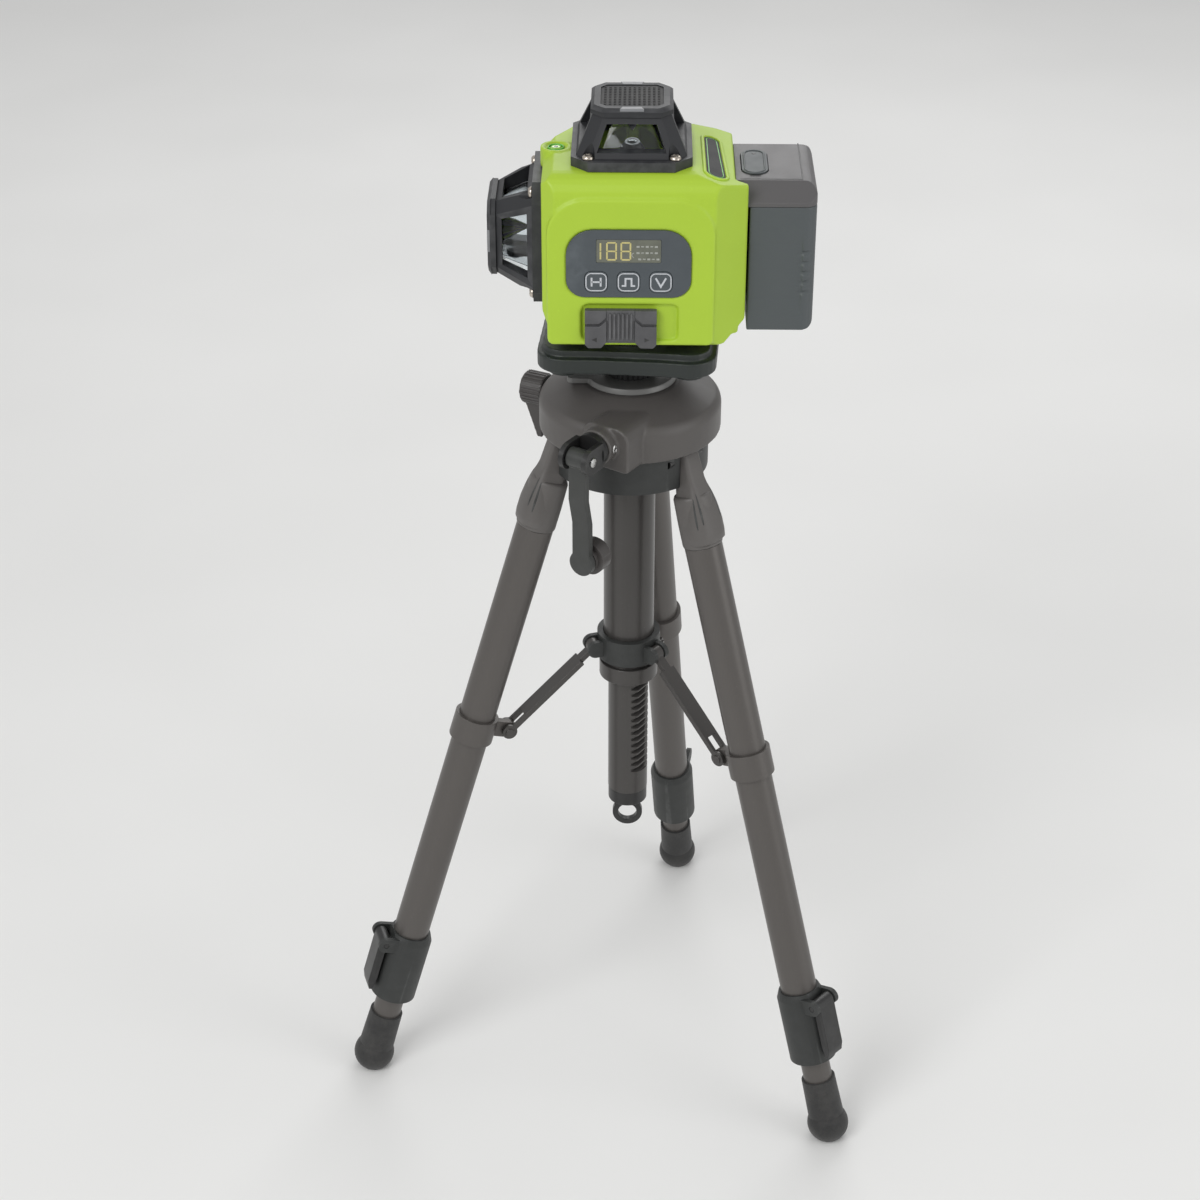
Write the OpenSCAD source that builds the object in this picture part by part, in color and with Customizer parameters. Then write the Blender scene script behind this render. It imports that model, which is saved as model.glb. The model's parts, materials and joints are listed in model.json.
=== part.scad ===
// Self-levelling cross-line laser on a rotary foot, screwed to a small crank-column tripod.
// Millimetres, +Z up. The origin is on the floor, at the centre of the box round the three feet.

/* [Tripod stance] */
// Height of the leg hinges above the floor
hinge_z = 372; // [371:0.5:374]
// Lean of an open leg from the vertical, in degrees
splay = 17; // [16.5:0.5:17.5]
// Distance from the column axis to each leg hinge
hinge_r = 36; // [35.5:0.5:37]
// Direction of the left leg, seen from above, in degrees
first_leg = 198; // [192:1:202]

/* [Tripod head] */
// Radius of the crown
crown_r = 45; // [44:0.5:46]
// Height of the crown's top face above its rim
crown_h = 26; // [25:0.5:28]
// Radius of the instrument plate on top of the column
plate_r = 27; // [25:0.5:30]
// Direction in which the crank shaft leaves the head, in degrees
crank_dir = 237; // [234:1:240]
// Direction of the column lock knob, in degrees
knob_dir = 155; // [150:1:160]

/* [Legs] */
// Outer radius of the upper leg tube
upper_r = 9.5; // [9:0.1:9.6]
// Outer radius of the lower leg tube
lower_r = 7.7; // [7:0.1:7.8]
// Radius of the round rubber foot
foot_r = 11; // [10:0.5:12]

/* [Column] */
// Outer radius of the centre column
column_r = 10.5; // [10.3:0.1:10.6]
// Outer radius of the fixed guide tube round the column
guide_r = 13; // [12.8:0.1:13.2]
// Pitch of the rack teeth along the column
rack_pitch = 4; // [4:4]
// Number of teeth on the crank's pinion
pinion_teeth = 10; // [10:10]

/* [Laser level] */
// Height of the level's body, up to its deck
body_h = 84; // [83:0.5:86]
// How far the body reaches to the left of the turning axis
body_left = 41.5; // [41:0.5:43]
// How far the body reaches to the right of the turning axis
body_right = 54; // [53:0.5:55]
// Half the depth of the body, front to back
body_y = 38; // [37.5:0.5:39]
// Wall of the moulded shell
wall = 2.5; // [2:0.1:3]
// Width of the battery pack, away from the body
battery_w = 31.5; // [30:0.5:36]

/* [Foot of the level] */
// Length of the foot plate, left to right
foot_plate_w = 86; // [82:1:90]
// Depth of the foot plate, front to back
foot_plate_d = 74; // [70:1:74]
// Turn of the foot plate under the level, in degrees
foot_plate_turn = -4; // [-5:1:0]

/* [Hidden] */
$fn = 64;
small = 32;                                   // $fn inside a hull
eps = 0.01;
run = 0.06;                                   // radial clearance of running fits
legs = [0, 1, 2];

// The column axis stands off the centre of the feet's box by these amounts.
leg_l = hinge_z / cos(splay);                 // hinge to floor, along the leg
foot_c = leg_l - foot_r * 0.82;               // hinge to the middle of the foot
foot_ring = hinge_r + foot_c * sin(splay);    // radius of the ring of feet
dirs = [for (i = legs) first_leg + 120 * i];
axis_x = -foot_ring * (max([for (a = dirs) cos(a)]) + min([for (a = dirs) cos(a)])) / 2;
axis_y = -foot_ring * (max([for (a = dirs) sin(a)]) + min([for (a = dirs) sin(a)])) / 2;

// Heights of the head, from the floor
rim_z = hinge_z + 6;
core_z = hinge_z - 14;
core_r = 39;
crown_z = rim_z + crown_h;
crank_z = rim_z + 13;
knob_z = rim_z + 8;
plate_t = 3;
collar_h = 9;
collar_z = crown_z + plate_t;
stud_r = 7.94;                                // 5/8 inch stud
stud_h = 13;
stud_top = collar_z + collar_h + stud_h;
column_bottom = 160;
guide_bottom = 232;

// Rack and pinion: the teeth are cut thin, so that they run with backlash
pinion_r = rack_pitch * pinion_teeth / (2 * PI);
rack_line = 8.3;                              // pitch line of the rack, from the column axis
shaft_off = rack_line + pinion_r;             // crank shaft, sideways from the column axis
shaft_r = 3.8;

// Crank, measured outwards along its shaft
boss_end = 53;
hinge_s = 66;
arm_drop = 58;
arm_half = 4.8;

// Leg stations, measured down from the hinge
knuckle_end = 46;
upper_end = 305;
clamp_top = 297;
clamp_end = 338;
lower_top = 75;
lower_end = 366;
boot_top = 352;
lever_at = [14.6, -303];

// Brace between the legs and the collar on the guide tube
saddle_l = 165;
lug_off = 19;
brace_in = 19;                                // radius of the collar's pivots
strut_eye_r = 3.8;
brace_angle = 42;                             // slope of an open strut
lug_x = hinge_r + saddle_l * sin(splay) - lug_off * cos(splay);
lug_z = hinge_z - saddle_l * cos(splay) - lug_off * sin(splay);
strut_l = (lug_x - brace_in) / cos(brace_angle);
collar_pivot_z = lug_z + strut_l * sin(brace_angle);

// Level, from the floor
base_z = stud_top - 9;                        // underside of the threaded insert
base_top = base_z + 12;
table_h = 5;
pivot_r = 7;                                  // the turntable's spigot in the foot plate
level_z = base_top + table_h;                 // underside of the level's body
gimbal_z = 66;                                // heights inside the level, from its underside
module_z = 45;
flange = [56, 60];
flange_t = 4.5;
cage_h = 22;
cap_t = 4;
cap_w = 38;
cap_edge = 1.6;                               // chamfer round the cap
cone_near = 8;                                // tip and base of a cone mirror, out from the body
cone_far = 18.5;
left_l = 38;                                  // lengths of the level's sideways laser modules
rear_l = 34.5;
vial_at = [-35.5, 2];
vial_r = 3.3;
ear_r = 7.4;                                  // boss round the vial
ear_bottom = module_z + flange[1] / 2 + 0.3;  // just above the left turret
key_x = [-16, -1, 14];
key_z = 34;
key_w = 10.4;
battery_x = body_right + 1;
battery_y = [-22, 38];
battery_z = [2, 74];
battery_x1 = battery_x + battery_w;
battery_cap_h = 10;
cap_slope = 9;                                // depth of the cap's front slope
shelf_x = 48;                                 // step in the body under the cap
shelf_z = battery_z[1] - battery_cap_h - 0.4;
flap_at = [shelf_x + 3.6, -6];                // left front corner of the port's flap

// ---------- shared shapes ----------

function arc(c, r, a0, a1, n = 6) = [for (k = [0:n]) c + r * [cos(a0 + (a1 - a0) * k / n),
                                                              sin(a0 + (a1 - a0) * k / n)]];

// Rectangle from corner a to corner b with round corners; the two lower ones may differ
function soft_box(a, b, r, low = undef, n = 6) = let (q = is_undef(low) ? r : low) concat(
    arc([b[0] - r, b[1] - r], r, 0, 90, n), arc([a[0] + r, b[1] - r], r, 90, 180, n),
    arc([a[0] + q, a[1] + q], q, 180, 270, n), arc([b[0] - q, a[1] + q], q, 270, 360, n));

// Octagon: a w by d rectangle with its corners cut by c
function octagon(w, d, c) = [for (s = [[1, 1], [-1, 1], [-1, -1], [1, -1]])
    each (s[0] * s[1] > 0
        ? [[s[0] * w / 2, s[1] * (d / 2 - c)], [s[0] * (w / 2 - c), s[1] * d / 2]]
        : [[s[0] * (w / 2 - c), s[1] * d / 2], [s[0] * w / 2, s[1] * (d / 2 - c)]])];

module tube(r, r_in, z0, z1) {
    translate([0, 0, z0]) difference() {
        cylinder(r = r, h = z1 - z0);
        translate([0, 0, -1]) cylinder(r = r_in, h = z1 - z0 + 2);
    }
}

// A cylinder across, along local Y
module across(r, half) {
    rotate([90, 0, 0]) cylinder(r = r, h = 2 * half, center = true);
}

// An x-z outline swept along local Y, from y0 to y1
module sweep_y(points, y0, y1) {
    translate([0, y1, 0]) rotate([90, 0, 0]) linear_extrude(y1 - y0) polygon(points);
}

module on_axis() { translate([axis_x, axis_y, 0]) children(); }

// Leg frame: origin at the hinge, down the leg is -Z, outwards is +X
module on_leg(i) {
    on_axis() rotate([0, 0, dirs[i - 1]]) translate([hinge_r, 0, hinge_z]) rotate([0, -splay, 0])
        children();
}

// Crank frame: +X runs out along the shaft, +Y is sideways, origin beside the column axis
module on_crank() {
    on_axis() rotate([0, 0, crank_dir]) translate([0, shaft_off, crank_z]) children();
}

module on_level() { on_axis() translate([0, 0, level_z]) children(); }

// Where the three windows sit: top, left and rear. Local +Z points out of the body.
module on_top() { translate([0, 0, body_h]) children(); }
module on_left() { translate([-body_left, 0, module_z]) rotate([0, -90, 0]) children(); }
module on_rear() { translate([0, body_y, module_z]) rotate([-90, 0, 0]) children(); }
module on_window(k) {
    if (k == 0) on_top() children();
    if (k == 1) on_left() rotate([0, 0, 90]) children();
    if (k == 2) on_rear() children();
}

// The four screws of a turret's flange
module screw_places() {
    for (x = [-1, 1], y = [-1, 1]) translate([x * 20, y * 25, 0]) children();
}

// ---------- tripod head ----------

module crown_outline() {
    polygon(concat([[0, 0], [crown_r, 0]], arc([crown_r - 6, 13], 6, 0, 60, 5),
                   [[plate_r - 2, crown_h], [0, crown_h]]));
}

module head_crown() {
    color("#3a3836") on_axis() difference() {
        union() {
            translate([0, 0, rim_z]) rotate_extrude() crown_outline();
            rotate([0, 0, crank_dir]) translate([0, shaft_off, crank_z]) {
                rotate([90, 0, 90]) linear_extrude(crown_r + 2)
                    polygon(soft_box([-11, rim_z - crank_z], [15, 9.5], 7, 1.5));
                rotate([0, 90, 0]) cylinder(r = 9, h = boss_end);
            }
        }
        translate([0, 0, rim_z - 1]) cylinder(r = column_r + 0.3, h = crown_h + 2);
        translate([0, 0, rim_z - 1]) cylinder(r = 27, h = crown_h - 3);
        rotate([0, 0, crank_dir]) translate([0, shaft_off, crank_z]) rotate([0, 90, 0])
            cylinder(r = shaft_r + run, h = 80);
        rotate([0, 0, knob_dir]) translate([20, 0, knob_z]) rotate([0, 90, 0])
            cylinder(r = 3.3, h = 40);
    }
}

module head_base() {
    color("#2b2c2a") on_axis() difference() {
        translate([0, 0, core_z]) cylinder(r = core_r, h = rim_z - core_z);
        translate([0, 0, core_z - 1]) cylinder(r = guide_r + 0.05, h = 13);
        translate([0, 0, core_z - 1]) cylinder(r = column_r + 0.3, h = 40);
        for (a = dirs) rotate([0, 0, a]) {
            translate([24, -6, core_z - 1]) cube([30, 12, 40]);
            translate([hinge_r, 0, hinge_z]) across(2.02, 13);
        }
    }
}

module guide_tube() {
    color("#4a4543") on_axis() {
        difference() {
            union() {
                translate([0, 0, guide_bottom]) cylinder(r = guide_r, h = core_z + 12 - guide_bottom);
                translate([0, 0, guide_bottom]) cylinder(r = guide_r + 2.2, h = 9);
                translate([0, 0, core_z - 7]) cylinder(r = guide_r + 1.6, h = 7 - eps);
            }
            translate([0, 0, guide_bottom - 1]) cylinder(r = column_r + 0.3, h = 160);
        }
    }
}

module leg_hinge_pins() {
    color("silver") on_axis() for (a = dirs)
        rotate([0, 0, a]) translate([hinge_r, 0, hinge_z]) across(2, 12);
}

// ---------- brace ----------

module brace_collar() {
    color("#302e2c") on_axis() translate([0, 0, collar_pivot_z]) {
        difference() {
            cylinder(r = guide_r + 3.3, h = 14, center = true);
            cylinder(r = guide_r + 0.3, h = 16, center = true);
            for (a = dirs) rotate([0, 0, a]) translate([brace_in, 0, 0]) across(strut_eye_r + 0.3, 2.65);
        }
        for (a = dirs) rotate([0, 0, a]) {
            for (s = [-1, 1]) {
                translate([guide_r + 1.6, s * 3.95 - 1.25, -4.5])
                    cube([brace_in - guide_r - 1.6, 2.5, 9]);
                translate([brace_in, s * 3.95, 0]) across(4.5, 1.25);
            }
            translate([brace_in, 0, 0]) across(1.2, 5);
        }
    }
}

module brace_strut(i) {
    color("#4a4543") on_axis() rotate([0, 0, dirs[i - 1]])
        translate([brace_in, 0, collar_pivot_z]) rotate([0, brace_angle, 0]) difference() {
            union() {
                across(strut_eye_r, 2.4);
                translate([0, -2.4, -1.5]) cube([12, 4.8, 3]);
                translate([10, -4.6, -1.5]) cube([strut_l - 22, 9.2, 3]);
                for (s = [-1, 1]) {
                    translate([strut_l - 13, s * 3.6 - 1, -1.5]) cube([13, 2, 3]);
                    translate([strut_l, s * 3.6, 0]) across(4, 1);
                    translate([strut_l, s * 4.9, 0]) across(2.4, 0.5);
                }
            }
            across(1.2 + run, 6);
        }
}

// ---------- column ----------

module rack_notches() {
    z0 = column_bottom + 14;
    n = floor((crown_z - 3 - z0) / rack_pitch);
    phase = crank_z - rack_pitch * floor((crank_z - z0) / rack_pitch);
    translate([0, 8, 0]) rotate([90, 0, 0]) linear_extrude(16) polygon(concat(
        [[20, phase - 2]],
        [for (k = [0:n - 1]) let (z = phase + k * rack_pitch) each
            [[rack_line + 1.2, z - 1.55], [rack_line - 1.3, z - 0.7],
             [rack_line - 1.3, z + 0.7], [rack_line + 1.2, z + 1.55]]],
        [[20, phase + (n - 1) * rack_pitch + 2]]));
}

module center_column() {
    color("#56504d") on_axis() difference() {
        translate([0, 0, column_bottom]) cylinder(r = column_r, h = crown_z - column_bottom);
        translate([0, 0, column_bottom - 1]) cylinder(r = 5.5, h = crown_z - column_bottom - 14);
        translate([0, 0, crown_z - 16]) cylinder(r = 3.02, h = 20);
        rotate([0, 0, crank_dir + 90]) rack_notches();
    }
}

module column_hook() {
    color("#262524") on_axis() difference() {
        union() {
            translate([0, 0, column_bottom - 8]) cylinder(r = column_r - 0.2, h = 8);
            translate([0, 0, column_bottom - eps]) cylinder(r = 5.3, h = 12);
            translate([-7, -2, column_bottom - 18]) cube([14, 4, 12]);
            translate([0, 0, column_bottom - 18]) across(8, 2);
        }
        translate([0, 0, column_bottom - 18]) across(5, 4);
    }
}

module top_plate() {
    color("#6b6c69") on_axis() difference() {
        union() {
            translate([0, 0, crown_z]) cylinder(r1 = plate_r - 4, r2 = plate_r - 5, h = plate_t);
            translate([0, 0, crown_z]) linear_extrude(plate_t)
                polygon(soft_box([-plate_r - 4, -10], [0, 10], 3));
        }
        translate([0, 0, crown_z - 1]) cylinder(r = 3.1, h = plate_t + 2);
    }
}

module mounting_stud() {
    groove = 0.9;
    turns = 9;
    step = (collar_h + stud_h - 2) / turns;
    color("#c8c8c8") on_axis() translate([0, 0, collar_z]) difference() {
        union() {
            rotate_extrude() polygon(concat([[0, 0], [stud_r - groove, 0]],
                [for (k = [0:turns - 1]) each [[stud_r - groove, 0.4 + k * step],
                    [stud_r, 0.4 + (k + 0.5) * step], [stud_r - groove, 0.4 + (k + 1) * step]]],
                [[stud_r - 2, collar_h + stud_h], [0, collar_h + stud_h]]));
            translate([0, 0, -14]) cylinder(r = 3, h = 14 + eps);
        }
        translate([-10, -0.8, collar_h + stud_h - 2.2]) cube([20, 1.6, 5]);
    }
}

module lock_collar() {
    ribs = 30;
    color("#222222") on_axis() translate([0, 0, collar_z]) difference() {
        cylinder(r = 12.6, h = collar_h);
        translate([0, 0, -1]) cylinder(r = stud_r + 0.1, h = collar_h + 2);
        for (k = [0:ribs - 1]) rotate([0, 0, k * 360 / ribs])
            translate([12.6, 0, 1]) rotate([0, 0, 45]) cube([0.9, 0.9, 2 * collar_h], center = true);
    }
}

// ---------- crank and lock knob ----------

module pinion() {
    rotate([90, 0, 90]) linear_extrude(12, center = true) union() {
        circle(r = pinion_r - 1.3);
        for (k = [0:pinion_teeth - 1]) rotate([0, 0, 180 + k * 360 / pinion_teeth])
            polygon([[pinion_r - 2.2, -1], [pinion_r + 1.1, -0.35],
                     [pinion_r + 1.1, 0.35], [pinion_r - 2.2, 1]]);
    }
}

module crank_shaft() {
    color("#242423") on_crank() {
        pinion();
        translate([6, 0, 0]) rotate([0, 90, 0]) cylinder(r = shaft_r, h = boss_end - 5);
        translate([boss_end + 1, 0, 0]) rotate([0, 90, 0]) cylinder(r = 8.5, h = 3.5);
        for (s = [-1, 1]) {
            translate([boss_end + 4, s * 6.5 - 1.3, -6.5]) cube([hinge_s - boss_end - 4, 2.6, 13]);
            translate([hinge_s, s * 6.5, 0]) across(6.5, 1.3);
        }
        translate([hinge_s, 0, 0]) across(1.6, 8.3);
    }
}

// Centre line of the arm, as [outwards, up] from the hinge pin
arm_line = [[0, -1], [0.5, -22], [-2.5, -36], [-2.5, -arm_drop]];
arm_t = 2;

module crank_arm() {
    color("#2f302e") on_crank() translate([hinge_s, 0, 0]) difference() {
        union() {
            across(4.9, arm_half);
            sweep_y(concat([for (p = arm_line) p + [arm_t, 0]],
                           [for (k = [3:-1:0]) arm_line[k] - [arm_t, 0]]), -arm_half, arm_half);
            translate([arm_line[3][0] - arm_t, 0, -arm_drop]) rotate([0, 90, 0])
                cylinder(r = 6.5, h = 2 * arm_t);
            translate([arm_line[3][0] - arm_t - 11, 0, -arm_drop]) rotate([0, 90, 0])
                cylinder(r = 2.2, h = 12);
        }
        across(1.6 + run, 8);
    }
}

module crank_knob() {
    color("#4a4745") on_crank() translate([hinge_s + arm_line[3][0] - arm_t - 0.6, 0, -arm_drop])
        rotate([0, -90, 0]) difference() {
            union() {
                cylinder(r = 6.2, h = 2.6);
                translate([0, 0, 2.4]) cylinder(r = 8.6, h = 7.2);
                translate([0, 0, 9.5]) cylinder(r1 = 8.6, r2 = 7.2, h = 1.8);
            }
            translate([0, 0, -1]) cylinder(r = 2.2 + run, h = 11.6);
        }
}

module column_lock_knob() {
    color("#3a3836") on_axis() rotate([0, 0, knob_dir]) translate([0, 0, knob_z]) {
        translate([column_r + 0.6, 0, 0]) rotate([0, 90, 0]) cylinder(r = 3, h = 36);
        translate([crown_r + 1, 0, 0]) rotate([0, 90, 0]) cylinder(r = 8, h = 12);
        sweep_y([[crown_r + 1.5, 3], [crown_r + 13, 3], [crown_r + 12, -6], [crown_r + 5, -25],
                 [crown_r + 2.2, -25]], -4, 4);
    }
}

// ---------- legs ----------

module leg_knuckle(i) {
    color("#4b4745") on_leg(i) difference() {
        union() {
            across(5.8, 5.5);
            translate([-5.8, -5.5, -20]) cube([11.6, 11, 20]);
            translate([0, 0, -knuckle_end]) cylinder(r = upper_r + 0.4, h = knuckle_end - 20);
            translate([0, 0, -20]) cylinder(r1 = upper_r + 0.4, r2 = 5.6, h = 5);
            intersection() {
                translate([0, 0, -44]) cylinder(r = upper_r + 1.2, h = 29);
                translate([2, -7.5, -44]) cube([20, 15, 29]);
            }
            translate([0, 0, -knuckle_end - 16]) cylinder(r = upper_r - 0.85, h = 17);
        }
        across(2 + run, 9);
        for (s = [-1, 1]) translate([upper_r + 1.2, s * 2.6, -29]) rotate([s * 9, 0, 0])
            cube([1.6, 0.9, 15], center = true);
    }
}

module leg_upper_tube(i) {
    color("#57504d") on_leg(i) {
        tube(upper_r, upper_r - 0.8, -upper_end, -knuckle_end);
        translate([0, 0, -saddle_l]) difference() {
            union() {
                tube(upper_r + 2, upper_r + 0.02, -7, 7);
                translate([-lug_off, -2, -4.5]) cube([lug_off - upper_r - 1, 4, 9]);
                translate([-lug_off, 0, 0]) across(4.5, 2);
            }
            translate([0, 0, -8]) cylinder(r = upper_r + 0.02, h = 16);
        }
    }
}

module leg_clamp(i) {
    color("#2c2b2a") on_leg(i) difference() {
        union() {
            translate([0, 0, -clamp_end]) cylinder(r = 12.4, h = clamp_end - clamp_top - 4);
            translate([0, 0, -clamp_top - 4]) cylinder(r1 = 12.4, r2 = 10.8, h = 4);
            for (s = [-1, 1]) {
                translate([6, s * 7.4 - 1.2, lever_at[1] - 4.2]) cube([lever_at[0] - 6, 2.4, 8.4]);
                translate([lever_at[0], s * 7.4, lever_at[1]]) across(4.2, 1.2);
            }
        }
        translate([0, 0, -upper_end - 0.3]) cylinder(r = upper_r + 0.05, h = 20);
        translate([0, 0, -clamp_end - 1]) cylinder(r = lower_r + 0.25, h = 60);
        translate([lever_at[0], 0, lever_at[1]]) across(1.5 + run, 12);
        translate([10.2, -6.2, lever_at[1] - 6]) cube([10, 12.4, 14]);
    }
}

module leg_lever(i) {
    color("#1f1f1e") on_leg(i) {
        translate([lever_at[0], 0, lever_at[1]]) {
            across(1.5, 8.6);
            across(3.4, 5.8);
            sweep_y([[-1.4, 0], [-1.4, -24], [-0.4, -31], [1.6, -31], [3.2, -26], [3.4, 0]],
                    -5.8, 5.8);
        }
    }
}

module leg_lower_tube(i) {
    color("#6a6461") on_leg(i) tube(lower_r, lower_r - 0.8, -lower_end, -lower_top);
}

module leg_foot(i) {
    color("#1c1c1c") difference() {
        on_leg(i) difference() {
            union() {
                translate([0, 0, -boot_top - 22]) cylinder(r1 = foot_r - 1.5, r2 = foot_r - 2, h = 22);
                translate([0, 0, -foot_c]) sphere(r = foot_r);
            }
            translate([0, 0, -lower_end]) cylinder(r = lower_r + 0.02, h = 60);
        }
        translate([-400, -400, -50]) cube([800, 800, 50]);
    }
}

// ---------- foot of the level ----------

// Dog-bone plan of the foot plate
module foot_plan(grow = 0) {
    w = foot_plate_w / 2 + grow;
    d = foot_plate_d / 2 + grow;
    r = 13 + grow;
    polygon(concat(arc([w - r, d - r], r, 0, 90), [[14, d - 4], [-14, d - 4]],
                   arc([-w + r, d - r], r, 90, 180), arc([-w + r, -d + r], r, 180, 270),
                   [[-14, -d + 1], [14, -d + 1]], arc([w - r, -d + r], r, 270, 360)));
}

module base_plate() {
    color("#1d1f1d") on_axis() rotate([0, 0, foot_plate_turn]) translate([0, 0, base_z])
        difference() {
            union() {
                translate([0, 0, 1]) linear_extrude(7.5) foot_plan();
                translate([0, 0, 8.5]) linear_extrude(3.5) foot_plan(-3);
                for (x = [-1, 1], y = [-1, 1])
                    translate([x * (foot_plate_w / 2 - 13), y * (foot_plate_d / 2 - 12), -2])
                        cylinder(r = 8, h = 4);
            }
            translate([0, 0, -1]) cylinder(r = 11.02, h = 11);
            translate([0, 0, -3]) cylinder(r = stud_r + 0.1, h = 13.2);
            translate([0, 0, 9.9]) cylinder(r = pivot_r + run, h = 5);
        }
}

module base_insert() {
    color("#b59a55") on_axis() translate([0, 0, base_z]) tube(11, stud_r + 0.1, 0, 10);
}

module turntable() {
    color("#8a8d8e") on_axis() translate([0, 0, base_top]) {
        translate([0, 0, -1.7]) cylinder(r = pivot_r, h = 1.8);
        cylinder(r = 26, h = 2);
        translate([0, 0, 2 - eps]) cylinder(r = 22, h = table_h - 2 + eps);
        translate([0, 0, table_h - eps]) cylinder(r = 3.1, h = 6);
    }
}

// ---------- body of the level ----------

// Outline seen from above; inset moves the walls in
function plan(k) = [[-body_left + k, -body_y + 6 + k], [-body_left + 6 + k, -body_y + k],
    [39 - k / 2, -body_y + k], [body_right - k, -25 + k / 2], [body_right - k, body_y - 3 - k],
    [body_right - 3 - k, body_y - k], [-26 + k / 2, body_y - k], [-body_left + k, 20 - k / 2]];

// Outline seen from the left: y, z
function side(k) = concat([[-body_y + 3 + k, k], [-body_y + k, 3 + k]],
    [for (p = arc([-body_y + 10, body_h - 10], 10 - k, 180, 90, 5)) p],
    [[body_y - 4 - k, body_h - k], [body_y - k, body_h - 4 - k], [body_y - k, 3 + k],
     [body_y - 3 - k, k]]);

// Outline seen from the front: x, z
function front(k) = [[-body_left + 6 + k, k], [-body_left + k, 16], [-body_left + k, body_h - 5 - k],
    [-body_left + 5 + k, body_h - k], [29.5, body_h - k], [body_right - k, body_h - 8 - k],
    [body_right - k, 9], [body_right - 10 - k / 2, k]];

module body_solid(k) {
    difference() {
        intersection() {
            translate([0, 0, k]) linear_extrude(body_h - 2 * k) polygon(plan(k));
            rotate([90, 0, 90]) linear_extrude(400, center = true) polygon(side(k));
            rotate([90, 0, 0]) linear_extrude(400, center = true) polygon(front(k));
        }
        // slanting facet at the rear left of the deck
        translate([-body_left, 8, body_h]) rotate([0, 0, 148.5]) rotate([0, -31.6, 0])
            translate([-k, -60, -60]) cube(120);
        // step at the right, in which the battery's cap sits
        translate([shelf_x - k, battery_y[0] - 0.5 - k, shelf_z - k]) cube([60, 90, 60]);
    }
}

// Two posts under the deck that carry the gimbal's pins
module gimbal_hangers() {
    for (s = [-1, 1]) difference() {
        translate([-3, s * 25.4 - 1.5, gimbal_z - 5]) cube([6, 3, body_h - gimbal_z + 4]);
        translate([0, s * 25.4, gimbal_z]) across(1.2 + run, 4);
    }
}

module body_shell() {
    color("#a9c832") on_level() difference() {
        union() {
            difference() {
                union() {
                    body_solid(0);
                    sweep_y(soft_box([-39, 1.5], [39, 74], 18, 3), -body_y - 1.5, -body_y + 3);
                    translate([vial_at[0], vial_at[1], ear_bottom])
                        cylinder(r = ear_r, h = body_h + 0.6 - ear_bottom);
                }
                body_solid(wall);
            }
            for (x = [-36, 48], y = [-26, 28]) translate([x, y, 3]) cylinder(r = 3, h = 12);
        }
        translate([-body_left + 8, -body_y + 6, -5]) cube([body_left + body_right - 20, 68, 8]);
        translate([0, 0, body_h - 10]) cylinder(r = 23.5, h = 20);
        on_left() translate([0, 0, -8]) cylinder(r = 20, h = 16);
        on_rear() translate([0, 0, -8]) cylinder(r = 20, h = 16);
        translate([vial_at[0], vial_at[1], body_h - 0.6]) cylinder(r = 5.4, h = 2);
        translate([vial_at[0], vial_at[1], body_h - 6]) cylinder(r = vial_r + 0.1, h = 8);
        for (k = [0:2]) on_window(k) translate([0, 0, -5]) screw_places() cylinder(r = 1.4, h = 8);
        sweep_y(soft_box([-30.4, 25.8], [28.4, 60], 13, 9), -body_y - 2, -body_y - 0.3);
        sweep_y(soft_box([-28, 28], [26, 57], 10, 7), -body_y - 3, -body_y + 5);
        sweep_y(soft_box([-23, 4], [22.3, 22.3], 3), -body_y - 2, -body_y + 0.6);
        // slot for the switch's stem
        translate([-8.2, -body_y - 3, 10]) cube([16.4, 9, 6]);
        translate([body_right - 8, -6, 19]) cube([12, 32, 32]);
    }
    color("#a9c832") on_level() gimbal_hangers();
}

module bottom_cover() {
    color("#a9c832") on_level() difference() {
        translate([-body_left + 8.1, -body_y + 6.1, 0.2])
            cube([body_left + body_right - 20.2, 67.8, 2.6]);
        translate([0, 0, -1]) cylinder(r = 3.3, h = 6);
    }
}

module control_panel() {
    color("#4b5256") on_level() difference() {
        sweep_y(soft_box([-30, 26.2], [28, 59.6], 12.6, 8.6), -body_y - 1.8, -body_y - 0.35);
        for (x = key_x) sweep_y(soft_box([x - key_w / 2 - 0.15, key_z - key_w / 2 - 0.15],
            [x + key_w / 2 + 0.15, key_z + key_w / 2 + 0.15], 3.2), -body_y - 3, -body_y + 1);
        sweep_y(soft_box([-16, 43.6], [14, 55], 0.5), -body_y - 3, -body_y - 1);
    }
}

module key(n) {
    color("#4b5256") on_level() {
        sweep_y(soft_box([key_x[n] - key_w / 2, key_z - key_w / 2],
                         [key_x[n] + key_w / 2, key_z + key_w / 2], 3), -body_y - 2, -body_y - 0.7);
        translate([key_x[n], -body_y + 0.7, key_z]) across(2, 1.4 + eps);
    }
}

module lock_switch() {
    c = -4.5;
    color("#4a4a4d") on_level() difference() {
        union() {
            sweep_y([[c - 16.8, 20.2], [c - 16.8, 3], [c - 15.4, 1.3], [c - 9, 1.3], [c - 6, 4.2],
                     [c + 6, 4.2], [c + 9, 1.3], [c + 15.4, 1.3], [c + 16.8, 3], [c + 16.8, 20.2]],
                    -body_y - 4.6, -body_y - 1.7);
            sweep_y(soft_box([c - 16, 5], [c + 16, 20], 1), -body_y - 2, -body_y + 0.4);
            translate([c - 3, -body_y, 11]) cube([6, 16, 4]);
        }
        for (k = [-2:2]) translate([c + k * 2.3 - 0.6, -body_y - 5.6, 5.6]) cube([1.2, 2, 13]);
    }
}

// ---------- windows ----------

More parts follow.
